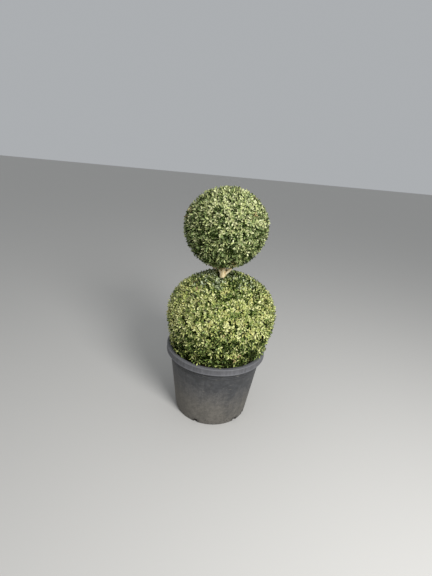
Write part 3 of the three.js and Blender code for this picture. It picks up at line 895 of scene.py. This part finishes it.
def notched_quads(rows, outer, inner, angles, centres, half):
    """Quads of the turned grid. Each notch leaves out its cells outside and inside, and four strips of
    quads join the two skins round it."""
    columns = len(angles)
    row = np.arange(rows - 1)[:, None]
    (low_row, high_row), (inner_low, inner_high) = outer, inner
    middle = angles + 0.5 * ((np.roll(angles, -1) - angles) % (2 * np.pi))
    in_notch = np.abs(turn_between(middle[:, None], centres)).min(1) < half
    in_zone = (row >= low_row) & (row < high_row) | (row >= inner_high) & (row < inner_low)
    strips = [grid_quads(rows, columns)[~(in_notch & in_zone)]]
    steps = np.arange(high_row - low_row)
    out, back = (low_row + steps) * columns, (inner_low - steps) * columns
    side = np.stack([out, out + columns, back - columns, back], -1)
    for centre in centres:
        inside = np.flatnonzero(np.abs(turn_between(angles, centre)) <= NOTCH_EDGE * half)
        if inside[-1] - inside[0] != len(inside) - 1:
            raise ValueError("a drain notch lies across the grid's seam")
        a, b = high_row * columns + inside[:-1], inner_high * columns + inside[:-1]
        c, d = low_row * columns + inside[:-1], inner_low * columns + inside[:-1]
        strips += [side + inside[0], side[:, ::-1] + inside[-1],
                   np.stack([a, a + 1, b + 1, b], -1), np.stack([d, d + 1, c + 1, c], -1)]
    return np.concatenate(strips)


class TOPIARY_OT_pot(Operator):
    """Makes the tapered nursery pot with its hollow rim band and open drain notches"""
    bl_idname = "topiary.pot"
    bl_label = "Pot"

    def execute(self, context):
        pot = context.scene.topiary.pot
        places, quads = pot_surface(pot)
        plastic = new_material("moulded polyethylene", polyethylene, pot)
        surface = closed_grid(places, [[0, 0, 0], [0, 0, pot.floor]], quads)
        make_piece("nursery_pot", surface, plastic, "pot")
        return {"FINISHED"}


# Soil

def soil_height(places, reach):
    """The soil's top: highest at the trunk and lower at the wall by the square of the distance, with
    lumps that are 25 mm and 9 mm wide."""
    flat = np.hypot(places[..., 0], places[..., 1])
    lumps = smooth_noise(places * [1, 1, 0], 25 * MM, 3) + 0.5 * smooth_noise(places * [1, 1, 0], 9 * MM, 4)
    return SOIL_HIGH.z - SOIL_CROWN * (flat / reach) ** 2 + LUMP_HEIGHT * lumps


def soil_block(pot):
    """The potting mix as a closed turned grid: underside, side just clear of the wall, lumpy top. Also
    gives how far its top reaches."""
    clear = pot.wall + SOIL_GAP
    low, high = SOIL_LOW.z, SOIL_HIGH.z
    reach, foot = wall_rows(pot, [high - SOIL_CROWN, low], clear)[:, 0]
    side = wall_rows(pot, np.linspace(low, high - SOIL_CROWN - 4 * MM, 12), clear)
    top = [[radius, high] for radius in np.linspace(reach, 6 * MM, 44)]
    profile = np.concatenate([[[0.5 * foot, low], [0.97 * foot, low]], side, top])
    places = turned(profile[:, :1], even_angles(SOIL_COLUMNS), profile[:, 1:])
    places[-len(top):, :, 2] = soil_height(places[-len(top):], reach)
    return closed_grid(places, [[0, 0, low], [0, 0, high]]), reach


def loose_blocks(rng, centres, sizes, tilt):
    """Many small irregular blocks. Each is a box whose corners are moved by up to a fifth of its size,
    turned by a random heading and leant by up to the given tilt."""
    count = len(centres)
    corners = CHIP_CORNERS * (1 + 0.4 * (rng.random((count, 8, 3)) - 0.5)) * sizes[:, None]
    heading = rng.random(count) * 2 * np.pi
    lean = 2 * tilt * (rng.random((count, 2)) - 0.5)
    along = unit(turned(1.0, heading, lean[:, 0]))
    beside = unit(turned(1.0, heading + np.pi / 2, lean[:, 1]))
    axes = np.stack([along, beside, np.cross(along, beside)], 1)
    points = corners @ axes + centres[:, None]
    return points.reshape(-1, 3), [repeat_faces(CHIP_FACES, 8, count)]


class TOPIARY_OT_soil(Operator):
    """Makes the bark potting mix: its lumpy block, loose bark chips and bits of straw"""
    bl_idname = "topiary.soil"
    bl_label = "Soil"

    def execute(self, context):
        topiary = context.scene.topiary
        soil = topiary.soil
        rng = np.random.default_rng(41)
        block, reach = soil_block(topiary.pot)
        grains = new_material("moist potting mix", moist_grains, soil.mix, 2.2 * MM, 1.2 * MM)
        make_piece("potting_mix", block, grains, "soil")
        # Name, number, size in millimetres, colour and tilt of each kind
        for name, count, size, rgba, tilt in (
            ("bark_chips_dark", int(0.62 * soil.chips), (15, 7.5, 3.2), soil.dark_chip, 0.35),
            ("bark_chips_pale", int(0.38 * soil.chips), (11, 5.5, 2.6), soil.pale_chip, 0.4),
            ("straw_bits", soil.straws, (30, 1.6, 1.1), soil.straw, 0.12),
        ):
            sizes = np.array(size) * MM * (0.6 + 0.8 * rng.random((count, 3)))
            turn = rng.random(count) * 2 * np.pi
            out = (reach - 0.62 * sizes[:, 0]) * np.sqrt(rng.random(count))
            centres = turned(np.maximum(out, CHIP_GAP), turn, 0.0)
            centres[:, 2] = soil_height(centres, reach) + 0.6 * MM
            grains = new_material(name.replace("_", " "), moist_grains, rgba, 1.6 * MM, 0.4 * MM)
            make_piece(name, loose_blocks(rng, centres, sizes, tilt), grains, "soil")
        return {"FINISHED"}


# Trunk and boughs

def trunk_middle(share):
    """The trunk's middle line: a smooth curve through the sway points, at even steps of height. Each
    stretch is a cubic whose slopes at its ends are half the difference of the neighbouring points."""
    heights = np.linspace(SOIL_HIGH.z, TRUNK_HIGH.z, len(TRUNK_SWAY))
    knots = np.column_stack([TRUNK_SWAY, heights])
    knots = np.concatenate([[2 * knots[0] - knots[1]], knots, [2 * knots[-1] - knots[-2]]])
    place = np.clip(np.asarray(share, float), 0, 1) * (len(TRUNK_SWAY) - 1)
    first = np.minimum(place.astype(int), len(TRUNK_SWAY) - 2)
    t = (place - first)[..., None]
    before, start, end, after = (knots[first + i] for i in range(4))
    slope_in, slope_out = (end - before) / 2, (after - start) / 2
    return ((2 * t ** 3 - 3 * t ** 2 + 1) * start + (t ** 3 - 2 * t ** 2 + t) * slope_in
            + (3 * t ** 2 - 2 * t ** 3) * end + (t ** 3 - t ** 2) * slope_out)


def trunk_share(height):
    """The share of the way up the trunk at a height."""
    return (height - SOIL_HIGH.z) / (TRUNK_HIGH.z - SOIL_HIGH.z)


def trunk_radius(bark, height, angle):
    """The trunk thins evenly up to the bare stretch and then to its tip, and its root flare fades as
    exp(-3h / flare height), in lobes round the foot."""
    bare_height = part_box(BALLS["LOWER"].node)[1].z + 4 * MM
    stem = np.interp(height, [SOIL_HIGH.z, bare_height, TRUNK_HIGH.z],
                     [bark.stem_radius, bark.gap_radius, bark.tip_radius])
    flare = np.exp(-3 * (height - SOIL_HIGH.z) / FLARE_HEIGHT) * (bark.foot_radius - bark.stem_radius)
    return stem + flare * (1 + LOBE_SHARE * np.cos(FLARE_LOBES * angle + 0.6))


def bough_line(bough):
    """A bough's foot on the trunk's middle line, its lowered middle and its tip."""
    foot = trunk_middle(trunk_share(bough.start))
    azimuth, rise = np.radians([bough.azimuth, bough.rise])
    reach = turned(np.cos(rise), azimuth, np.sin(rise)) * bough.length
    return foot, foot + reach / 2 - [0, 0, BOUGH_BOW], foot + reach


def bark_relief(points, bark):
    """Bark relief along the outward normal: long ridges, their noise stretched six times along the
    stem, and short flakes across them."""
    ridges = smooth_noise(points * [1, 1, 0.16], bark.ridge_width, 21)
    flakes = smooth_noise(points * [1, 1, 0.6], 0.45 * bark.ridge_width, 22)
    return bark.ridge_depth * (0.7 * ridges + 0.3 * flakes)


def bark_tube(middle, radius, bark, level_foot=False):
    """A limb as a closed tube: rings round a line of middles, pushed in and out by the bark relief,
    which is shallower on thin wood. A level foot is flat, and has no relief."""
    along = unit(np.gradient(middle, axis=0))
    if level_foot:
        along[0] = [0, 0, 1]
    across = np.eye(3)[0 if abs(along[0, 0]) < 0.8 else 1]
    bare, around = rings(middle, along, square_to(along, across), radius)
    relief = bark_relief(bare, bark) * np.clip(radius / (12 * MM), 0.25, 1)
    if level_foot:
        relief[0] = 0
    tip = middle[-1] + along[-1] * radius[-1].mean() * 0.6
    return closed_grid(bare + relief[..., None] * around, [middle[0], tip])


class TOPIARY_OT_limbs(Operator):
    """Makes the trunk with its root flare and the three main boughs, with real bark relief"""
    bl_idname = "topiary.limbs"
    bl_label = "Trunk and boughs"

    def execute(self, context):
        bark = context.scene.topiary.bark
        material = new_material("live bark", live_bark, bark)
        middle = trunk_middle(np.linspace(0, 1, TRUNK_RINGS))
        radius = trunk_radius(bark, middle[:, 2:], even_angles(TRUNK_SIDES))
        make_piece("trunk_bark", bark_tube(middle, radius, bark, level_foot=True), material, "trunk")
        t = np.linspace(0, 1, BOUGH_RINGS)[:, None]
        for bough in BOUGHS:
            middle, _ = on_curve(*bough_line(bough), t)
            collar = BOUGH_COLLAR * np.exp(-((t * bough.length / BOUGH_COLLAR_REACH) ** 2))
            radius = np.tile(mix(BOUGH_ROOT_RADIUS, BOUGH_TIP_RADIUS, t) + collar, BOUGH_SIDES)
            make_piece(bough.node + "_bark", bark_tube(middle, radius, bark), material, bough.node)
        return {"FINISHED"}


# Foliage

class Space(NamedTuple):
    """The space that a ball fills: its centre, its half width, and how far it reaches up from there."""
    centre: np.ndarray
    half: float
    up: float
    ball: Ball


def ball_space(ball):
    """A ball's space, from its solid's box. The sprigs of the solid end a little inside the clipped
    outline, and PROUD makes up for that."""
    low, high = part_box(ball.node)
    centre = np.array([(low.x + high.x) / 2, (low.y + high.y) / 2, ball.waist])
    half = max(high.x - low.x, high.y - low.y) / 2 + PROUD
    return Space(centre, half, high.z - ball.waist + PROUD, ball)


def outline_radius(space, directions):
    """How far the clipped outline is from the centre: an ellipsoid that leans to one side, with slow
    waves left by the shears. Where a ball has a dimple, a shallow cone round its axis cuts it off, a
    skirt makes it wider from just above the pot's rim down to the soil, and a tuft hangs down from the
    middle of its underside."""
    ball = space.ball
    x, y, z = np.moveaxis(directions, -1, 0)
    level = np.hypot(x, y)
    flat = np.hypot(x - ball.lean * z, y) / space.half
    upright = z / np.where(z < 0, ball.down, space.up)
    broad = np.sin(5.1 * x + 2.3 * y + ball.wave_seed) * np.sin(4.3 * z + 1.7 * x)
    fine = np.sin(9.7 * y - 6.1 * z + 2 * ball.wave_seed)
    wave = 0.5 * (broad - 1) + 0.25 * (fine - 1)
    clipped = (1 + CLIP_WAVE * wave) / np.hypot(flat, upright)
    to_cone = (ball.dimple - space.centre[2]) / np.maximum(z - DIMPLE_SLOPE * level, 1e-6)
    over_rim = space.centre[2] + z * clipped - POT_HIGH.z
    skirt = ball.skirt * np.clip(1.15 - over_rim / SKIRT_HEIGHT, 0, 1)
    tuft = np.where(z < 0, ball.tuft * np.clip(1 - level / TUFT_SPREAD, 0, 1), 0)
    return np.minimum(clipped, to_cone) + skirt + tuft


def spread_directions(count, rng):
    """Evenly spread directions: a golden-angle spiral, each nudged by up to half its spacing."""
    index = np.arange(count)
    z = 1 - 2 * (index + 0.5) / count
    turn = math.pi * (3 - math.sqrt(5)) * index
    spacing = math.sqrt(4 * math.pi / count)
    return unit(turned(np.sqrt(1 - z * z), turn, z) + 0.45 * spacing * (2 * rng.random((count, 3)) - 1))


def first_limbs(space, count, rng):
    """Limbs that leave the trunk, or a main bough's tip, at a rise towards evenly spread targets."""
    directions = spread_directions(count, rng)
    depth_share = LIMB_LEVELS[0].depth_share
    targets = space.centre + directions * (outline_radius(space, directions) * (1 - depth_share))[:, None]
    high = min(TRUNK_HIGH.z - FIRST_TIP_GAP, space.centre[2] + FIRST_TOP * space.up)
    carriers = trunk_middle(trunk_share(np.linspace(space.ball.first_height, high, 60)))
    if space.ball is BALLS["UPPER"]:
        carriers = np.concatenate([carriers, [bough_line(bough)[2] for bough in BOUGHS]])
    flat = np.linalg.norm(targets[:, :2] - space.centre[:2], axis=1)
    wanted = targets - FIRST_RISE * flat[:, None] * [0, 0, 1]
    away = np.linalg.norm(wanted[:, None] - carriers, axis=-1)
    start = carriers[np.argmin(away, axis=1)]
    sag = FIRST_SAG * np.linalg.norm(targets - start, axis=1)[:, None] * [0, 0, 1]
    return Curves(directions, start, mix(start, targets, 0.5) - sag, targets)


def next_limbs(space, parents, directions, depth, rng):
    """Limbs that each leave the nearest parent in its outer half and turn from its direction towards
    their own tip, which lies at a depth under the outline."""
    tips = space.centre + directions * (outline_radius(space, directions) - depth)[:, None]
    nearest = np.argmax(directions @ parents.directions.T, axis=1)
    t = 0.5 + 0.5 * np.sqrt(rng.random(len(directions)))
    start, along = on_curve(*parents.select(nearest)[1:], t[:, None])
    reach = np.linalg.norm(tips - start, axis=1)[:, None]
    bend = start + BEND_PLACE * reach * unit(along + BEND_TURN * unit(tips - start))
    return Curves(directions, start, bend, tips)


def grow_ball(space, shoots, rng):
    """All limbs of a ball: a few from the trunk, then branches, twigs and leafy shoots, each level
    more in number, thinner, and closer to the outline. Shoots end deeper in the dark hollows, and less
    deep near the pot's rim. Gives (level curves, shoot curves)."""
    grown = [first_limbs(space, int(shoots * LIMB_LEVELS[0].share), rng)]
    for level in LIMB_LEVELS[1:]:
        directions = spread_directions(int(shoots * level.share), rng)
        full = outline_radius(space, directions)
        depth = level.depth_share * full + level.depth * (0.85 + 0.3 * rng.random(len(full)))
        grown.append(next_limbs(space, grown[-1], directions, depth, rng))
    directions = spread_directions(shoots, rng)
    surface = space.centre + directions * outline_radius(space, directions)[:, None]
    hollows = smooth_noise(surface, HOLLOW_WIDTH, 61 + space.ball.wave_seed)
    hollow_depth = space.ball.hollow * np.clip((hollows - HOLLOW_START) / HOLLOW_SPAN, 0, 1)
    jitter = rng.gamma(DEPTH_SHAPE, DEPTH_SCALE, shoots)
    over_rim = np.clip((surface[:, 2] - POT_HIGH.z) / SKIRT_HEIGHT, RIM_SHARE, 1)
    depth = SHOOT_TIP_DEPTH + (jitter + hollow_depth) * over_rim
    return grown, next_limbs(space, grown[-1], directions, depth, rng)


def hits_pot(points, pot, gaps):
    """Which points are closer than the gaps to the wall's inner side, to the rim's top or to the soil."""
    to_wall, to_rim, to_soil = gaps
    flat = np.hypot(points[..., 0], points[..., 1])
    in_wall = (flat > pot.mouth_radius - to_wall) & (points[..., 2] < POT_HIGH.z + to_rim)
    return in_wall | (points[..., 2] < SOIL_HIGH.z + to_soil)


def clear_shoots(shoots, pot):
    """The shoots whose tips are clear of pot and soil, without those that would fill the hidden middle
    of the lower ball's underside."""
    x, y, z = shoots.end.T
    hidden = (z < POT_HIGH.z - HIDDEN_DEPTH) & (np.hypot(x, y) < pot.mouth_radius - HIDDEN_INSET)
    return shoots.select(~(hits_pot(shoots.end, pot, SHOOT_CLEAR) | hidden))


def limb_gap(points, bark):
    """Distance from each point to the surface of the trunk or of the nearest main bough."""
    middle = trunk_middle(trunk_share(points[..., 2]))
    radius = np.interp(points[..., 2], [SOIL_HIGH.z, TRUNK_HIGH.z - 250 * MM, TRUNK_HIGH.z],
                       [bark.stem_radius, bark.gap_radius, bark.tip_radius])
    above = np.maximum(points[..., 2] - TRUNK_HIGH.z, 0)
    gap = np.hypot(np.linalg.norm(points[..., :2] - middle[..., :2], axis=-1), above) - radius
    for bough in BOUGHS:
        foot, _, tip = bough_line(bough)
        line = tip - foot
        share = np.clip((points - foot) @ line / (line @ line), 0, 1)
        near = np.linalg.norm(points - (foot + share[..., None] * line), axis=-1)
        gap = np.minimum(gap, near - mix(BOUGH_ROOT_RADIUS, BOUGH_TIP_RADIUS, share))
    return gap


def shoot_leaves(shoots, foliage, rng):
    """Leaves in pairs up each shoot. Each pair turns a quarter from the pair below, and a leaf leans
    out from the shoot by its pair's spread. Across lies square to shoot and leaf, and the blade's
    face points to the shoot's tip. Gives (shoots, pairs, 2) arrays of feet, directions, directions
    across, lengths and which leaves there is room for."""
    pairs = len(LEAF_PAIRS)
    shape = (len(shoots.end), pairs, 2)

    def swing(width):
        return width * (rng.random(shape) - 0.5)

    chord = shoots.end - shoots.start
    from_tip = LEAF_PAIRS[:, 0] * MM * (0.9 + 0.2 * rng.random((len(chord), 1)))
    t = 1 - from_tip / np.linalg.norm(chord, axis=1)[:, None]
    foot, along = on_curve(*(places[:, None] for places in shoots[1:]), np.clip(t, 0, 1)[..., None])
    foot, along = foot[:, :, None], along[:, :, None]
    first = unit(np.cross(unit(rng.normal(size=chord.shape)), unit(chord)))[:, None, None]
    first = square_to(along, first)
    turn = (np.pi / 2 * np.arange(pairs)[:, None] + np.pi * np.arange(2) + swing(TURN_SWING))[..., None]
    outward = np.cos(turn) * first + np.sin(turn) * np.cross(along, first)
    spread = (np.radians(LEAF_PAIRS[:, 2:]) + swing(SPREAD_SWING))[..., None]
    leaf_along = np.cos(spread) * along + np.sin(spread) * outward
    across = np.cross(along, outward)
    roll = swing(ROLL_SWING)[..., None]
    across = np.cos(roll) * across + np.sin(roll) * np.cross(leaf_along, across)
    size = foliage.leaf_length * LEAF_PAIRS[:, 1:2] * (0.78 + 0.4 * rng.random(shape))
    there = np.broadcast_to((t > 0.02)[..., None], shape)
    return np.broadcast_to(foot, across.shape), leaf_along, across, size, there


def leaf_blades(foot, along, across, size, foliage):
    """Blades of nine points each: out to the leaf's sides, along it, and lifted off its flat plane by
    the outline's table."""
    half = 0.5 * foliage.leaf_width / foliage.leaf_length * size
    sides, steps, lifts = LEAF_OUTLINE.T[:, :, None]
    return (foot[:, None]
            + steps * (size[:, None] * along)[:, None]
            + sides * (half[:, None] * across)[:, None]
            + lifts * (size[:, None] * np.cross(along, across))[:, None])


def fits(space, blades, topiary, edge):
    """Which leaves keep to the ball's own space: inside the outline, clear of pot, soil and limbs, and
    further from the stem where it is bare."""
    away = blades - space.centre
    outside = np.linalg.norm(away, axis=-1) > outline_radius(space, unit(away)) + edge
    bare = (blades[..., 2] > BALLS["LOWER"].dimple) & (blades[..., 2] < BARE_TOP)
    near_limb = limb_gap(blades, topiary.bark) < np.where(bare, BARE_GAP, LIMB_GAP)
    in_pot = hits_pot(blades, topiary.pot, LEAF_CLEAR)
    return ~(outside | in_pot | near_limb).any(axis=1)


def spray_tones(space, shoots, rng):
    """A tone for each spray, from dark to pale by a score: the ball's own, plus slow patches, chance and
    the painted light and shade that the spray's place adds. Golden sprays stand in sunny patches, dead
    ones under the upper ball, and shade-grey ones, which are painted shade, on top of the lower ball,
    near the stem."""
    ball, tips = space.ball, shoots.end
    rise = (tips[:, 2] - space.centre[2]) / space.up
    from_stem = np.linalg.norm((tips - trunk_middle(trunk_share(tips[:, 2])))[:, :2], axis=1)
    patches = smooth_noise(tips, 45 * MM, 71 + ball.wave_seed)
    leftward = (space.centre[0] - tips[:, 0]) / space.half
    score = ball.pale + 0.04 * patches + ball.variety * (rng.random(len(tips)) - 0.5)
    # Painted light and shade: the upper ball paler on its crown and darker underneath; the lower ball paler
    # on its shoulder, less so on its top under the upper ball and darker on its underside, a little paler
    # near the stem on its top, and paler towards both sides, most on the left.
    score += ball.crown * rise + ball.shoulder * (1 - np.abs(rise - SHOULDER) / 0.9)
    score += ball.stem * np.clip(1 - from_stem / (190 * MM), 0, 1) * (rise > 0)
    score += np.where(leftward > 0, ball.left, ball.right) * np.abs(leftward)
    tone = np.digitize(score, TONE_STEPS)
    sunned = smooth_noise(tips, 60 * MM, 91 + ball.wave_seed) > -0.1
    golden = sunned & (rng.random(len(tips)) < ball.golden * np.clip(1.2 - 2 * np.abs(rise - 0.35), 0, 1))
    over_bare = tips[:, 2] - BARE_TOP
    underneath = (over_bare < DEAD_HEIGHT) & (over_bare > 0) & (from_stem < DEAD_REACH)
    dead = rng.random(len(tips)) < np.where(underneath, DEAD_CHANCE - from_stem / DEAD_FALL, STRAY_DEAD)
    # painted shade: grey-green sprays near the stem on the lower ball's top, under the upper ball's shadow
    shade_grey = rng.random(len(tips)) < SHADE_GREY_CHANCE - from_stem / SHADE_GREY_FALL
    shade_grey &= (tone >= FRESH) & (rise > 0) & (ball is BALLS["LOWER"])
    return np.where(dead, DRY, np.where(shade_grey, SHADE_GREY, np.where(golden, GOLDEN, tone)))


class TOPIARY_OT_foliage(Operator):
    """Grows one clipped ball: boughs, branches and twigs from the trunk, and leafy shoots on them"""
    bl_idname = "topiary.foliage"
    bl_label = "Foliage ball"
    ball: EnumProperty(
        name="Ball",
        description="Which of the two balls to grow",
        items=[("LOWER", "Lower ball", "The larger ball in the pot's mouth"),
               ("UPPER", "Upper ball", "The smaller ball on top")],
        default="LOWER",
    )

    def execute(self, context):
        topiary = context.scene.topiary
        space = ball_space(BALLS[self.ball])
        rng = np.random.default_rng(100 + space.ball.wave_seed)
        count = topiary.foliage.lower_shoots if self.ball == "LOWER" else topiary.foliage.upper_shoots
        limbs, shoots = grow_ball(space, count, rng)
        shoots = clear_shoots(shoots, topiary.pot)
        self.make_wood(space.ball, limbs, shoots, topiary)
        self.make_leaves(space, shoots, topiary, rng)
        return {"FINISHED"}

    def make_wood(self, ball, limbs, shoots, topiary):
        """Tubes for every limb and shoot: older wood brown, leafy shoots green."""
        levels = []
        for level, curves in zip(LIMB_LEVELS, limbs):
            kept = curves.select(~hits_pot(curves.end, topiary.pot, LIMB_CLEAR))
            levels.append(tubes(kept, level.root_radius, level.tip_radius, level.sides, level.steps))
        leafy = tubes(shoots, SHOOT_ROOT_RADIUS, SHOOT_TIP_RADIUS, SHOOT_SIDES, SHOOT_STEPS)
        for name, wood, surface, rgba in (
            ("branches", "branch", join(levels), topiary.foliage.brown_wood),
            ("shoots", "shoot", leafy, topiary.foliage.green_wood),
        ):
            material = new_material(f"{ball.title} {wood} bark", young_bark, rgba)
            make_piece(f"{ball.title}_ball_{name}", surface, material, ball.node)

    def make_leaves(self, space, shoots, topiary, rng):
        """Leaves of all sprays, joined by tone into one piece each. A leaf is up to one tone from its
        spray's, and darker the further it is from the shoot's tip."""
        ball, foliage = space.ball, topiary.foliage
        foot, along, across, size, there = shoot_leaves(shoots, foliage, rng)
        tones = np.broadcast_to(spray_tones(space, shoots, rng)[:, None, None], size.shape)
        pair = np.arange(len(LEAF_PAIRS))[:, None]
        chance = rng.random(size.shape)
        step = (chance < TONE_CHANCE).astype(int) - (chance > 1 - TONE_CHANCE) - (pair >= DARKER_PAIR)
        tones = np.where(tones <= PALE, np.clip(tones + step, DEEP, PALE), tones)
        tones = np.where((tones == GOLDEN) & (chance < GREEN_CHANCE), FRESH, tones)
        tones = np.where((pair >= OLD_PAIR) & (tones < DRY), DEEP, tones)[there]
        blades = leaf_blades(foot[there], along[there], across[there], size[there], foliage)
        good = fits(space, blades, topiary, np.where(tones == DRY, DEAD_SLACK, LIVE_SLACK)[:, None])
        blades, tones = blades[good], tones[good]
        leaf_uv = LEAF_OUTLINE[:, :2] * [0.5, 1] + [0.5, 0]
        for tone, (name, skin) in enumerate(LEAF_SKINS.items()):
            chosen = blades[tones == tone]
            if not len(chosen):
                continue
            faces = repeat_faces(LEAF_FACES, len(LEAF_OUTLINE), len(chosen))
            bloom = 0.0 if tone == DRY else ball.bloom * min(tone / PALE, 1)
            rgba = tuple(mix(np.array(getattr(foliage, name)), np.array(foliage.bloom), bloom))
            material = new_material(f"{name} leaf, {ball.title} ball", waxy_leaf, rgba, *skin)
            make_piece(f"{ball.title}_ball_leaves_{name}", (chosen.reshape(-1, 3), [faces]), material,
                       ball.node, np.tile(leaf_uv, (len(chosen), 1)))


# Stage

class TOPIARY_OT_stage(Operator):
    """Makes the plain pale floor, the soft studio light and the camera"""
    bl_idname = "topiary.stage"
    bl_label = "Stage"

    def execute(self, context):
        scene = context.scene
        # The plain transform keeps each colour as its sRGB value says.
        scene.view_settings.view_transform = "Standard"
        self.make_floor(scene.topiary.stage)
        self.make_light(scene, scene.topiary.stage)
        self.make_camera(scene)
        return {"FINISHED"}

    def make_floor(self, stage):
        """A square just under the pot."""
        half = stage.floor_size / 2
        mesh = bpy.data.meshes.new("studio_floor")
        mesh.from_pydata([(-half, -half, 0), (half, -half, 0), (half, half, 0), (-half, half, 0)], [],
                         [(0, 1, 2, 3)])
        mesh.materials.append(new_material("matt floor paint", floor_paint, stage.floor))
        floor = add_object("studio_floor", mesh)
        floor.location.z = -0.5 * MM

    def make_light(self, scene, stage):
        """Even light from all round, and one large lamp that is aimed at the plant's middle."""
        world = bpy.data.worlds.new("soft studio")
        world.use_nodes = True
        world.node_tree.nodes.clear()
        node = partial(add_node, world.node_tree)
        glow = node("Background", {"Color": stage.sky, "Strength": stage.sky_strength})
        node("OutputWorld", {"Surface": glow})
        scene.world = world
        key = bpy.data.lights.new("overhead softbox", "AREA")
        key.shape = "DISK"
        key.size = KEY_SIZE
        key.energy = stage.key_power
        lamp = add_object("overhead softbox", key)
        lamp.location = KEY_PLACE
        x, y, z = np.subtract(KEY_TARGET, KEY_PLACE)
        lamp.rotation_euler = (math.atan2(math.hypot(x, y), -z), 0, math.atan2(-x, y))

    def make_camera(self, scene):
        """The camera that was fitted to the photo."""
        data = bpy.data.cameras.new("camera")
        data.lens = CAMERA_LENS
        data.sensor_width = 36
        data.clip_start = 0.05
        data.clip_end = 200
        data.dof.use_dof = False
        camera = add_object("camera", data)
        axes = np.eye(4)
        up, back = np.negative(CAMERA_DOWN), np.negative(CAMERA_AHEAD)
        axes[:3] = np.transpose([CAMERA_RIGHT, up, back, CAMERA_PLACE])
        camera.matrix_world = Matrix(axes.tolist())
        scene.camera = camera


class TOPIARY_PT_panel(Panel):
    """Lists the topiary's pieces and their settings"""
    bl_idname = "TOPIARY_PT_panel"
    bl_label = "Boxwood Topiary"
    bl_space_type = "VIEW_3D"
    bl_region_type = "UI"
    bl_category = "Topiary"

    def draw(self, context):
        layout = self.layout
        settings = context.scene.topiary
        for operator, group in ((TOPIARY_OT_stage, settings.stage), (TOPIARY_OT_pot, settings.pot),
                                (TOPIARY_OT_soil, settings.soil), (TOPIARY_OT_limbs, settings.bark)):
            self.draw_group(layout, group, operator.bl_label)
            layout.operator(operator.bl_idname)
        self.draw_group(layout, settings.foliage, "Foliage")
        for key in BALLS:
            layout.operator(TOPIARY_OT_foliage.bl_idname, text=f"{key.title()} ball").ball = key

    def draw_group(self, layout, group, title):
        """One box of settings."""
        box = layout.box()
        box.label(text=title)
        for name in group.__annotations__:
            box.prop(group, name)


CLASSES = (
    PotSettings,
    SoilSettings,
    BarkSettings,
    FoliageSettings,
    StageSettings,
    TopiarySettings,
    TOPIARY_OT_stage,
    TOPIARY_OT_pot,
    TOPIARY_OT_soil,
    TOPIARY_OT_limbs,
    TOPIARY_OT_foliage,
    TOPIARY_PT_panel,
)


def register():
    """Registers every class and hangs the settings on the scene."""
    for cls in CLASSES:
        bpy.utils.register_class(cls)
    bpy.types.Scene.topiary = PointerProperty(type=TopiarySettings)


def unregister():
    """Takes back what register does."""
    del bpy.types.Scene.topiary
    for cls in reversed(CLASSES):
        bpy.utils.unregister_class(cls)


def main():
    """Makes the whole plant."""
    register()
    bpy.ops.topiary.stage()
    bpy.ops.topiary.pot()
    bpy.ops.topiary.soil()
    bpy.ops.topiary.limbs()
    bpy.ops.topiary.foliage(ball="LOWER")
    bpy.ops.topiary.foliage(ball="UPPER")


if __name__ == "__main__":
    main()
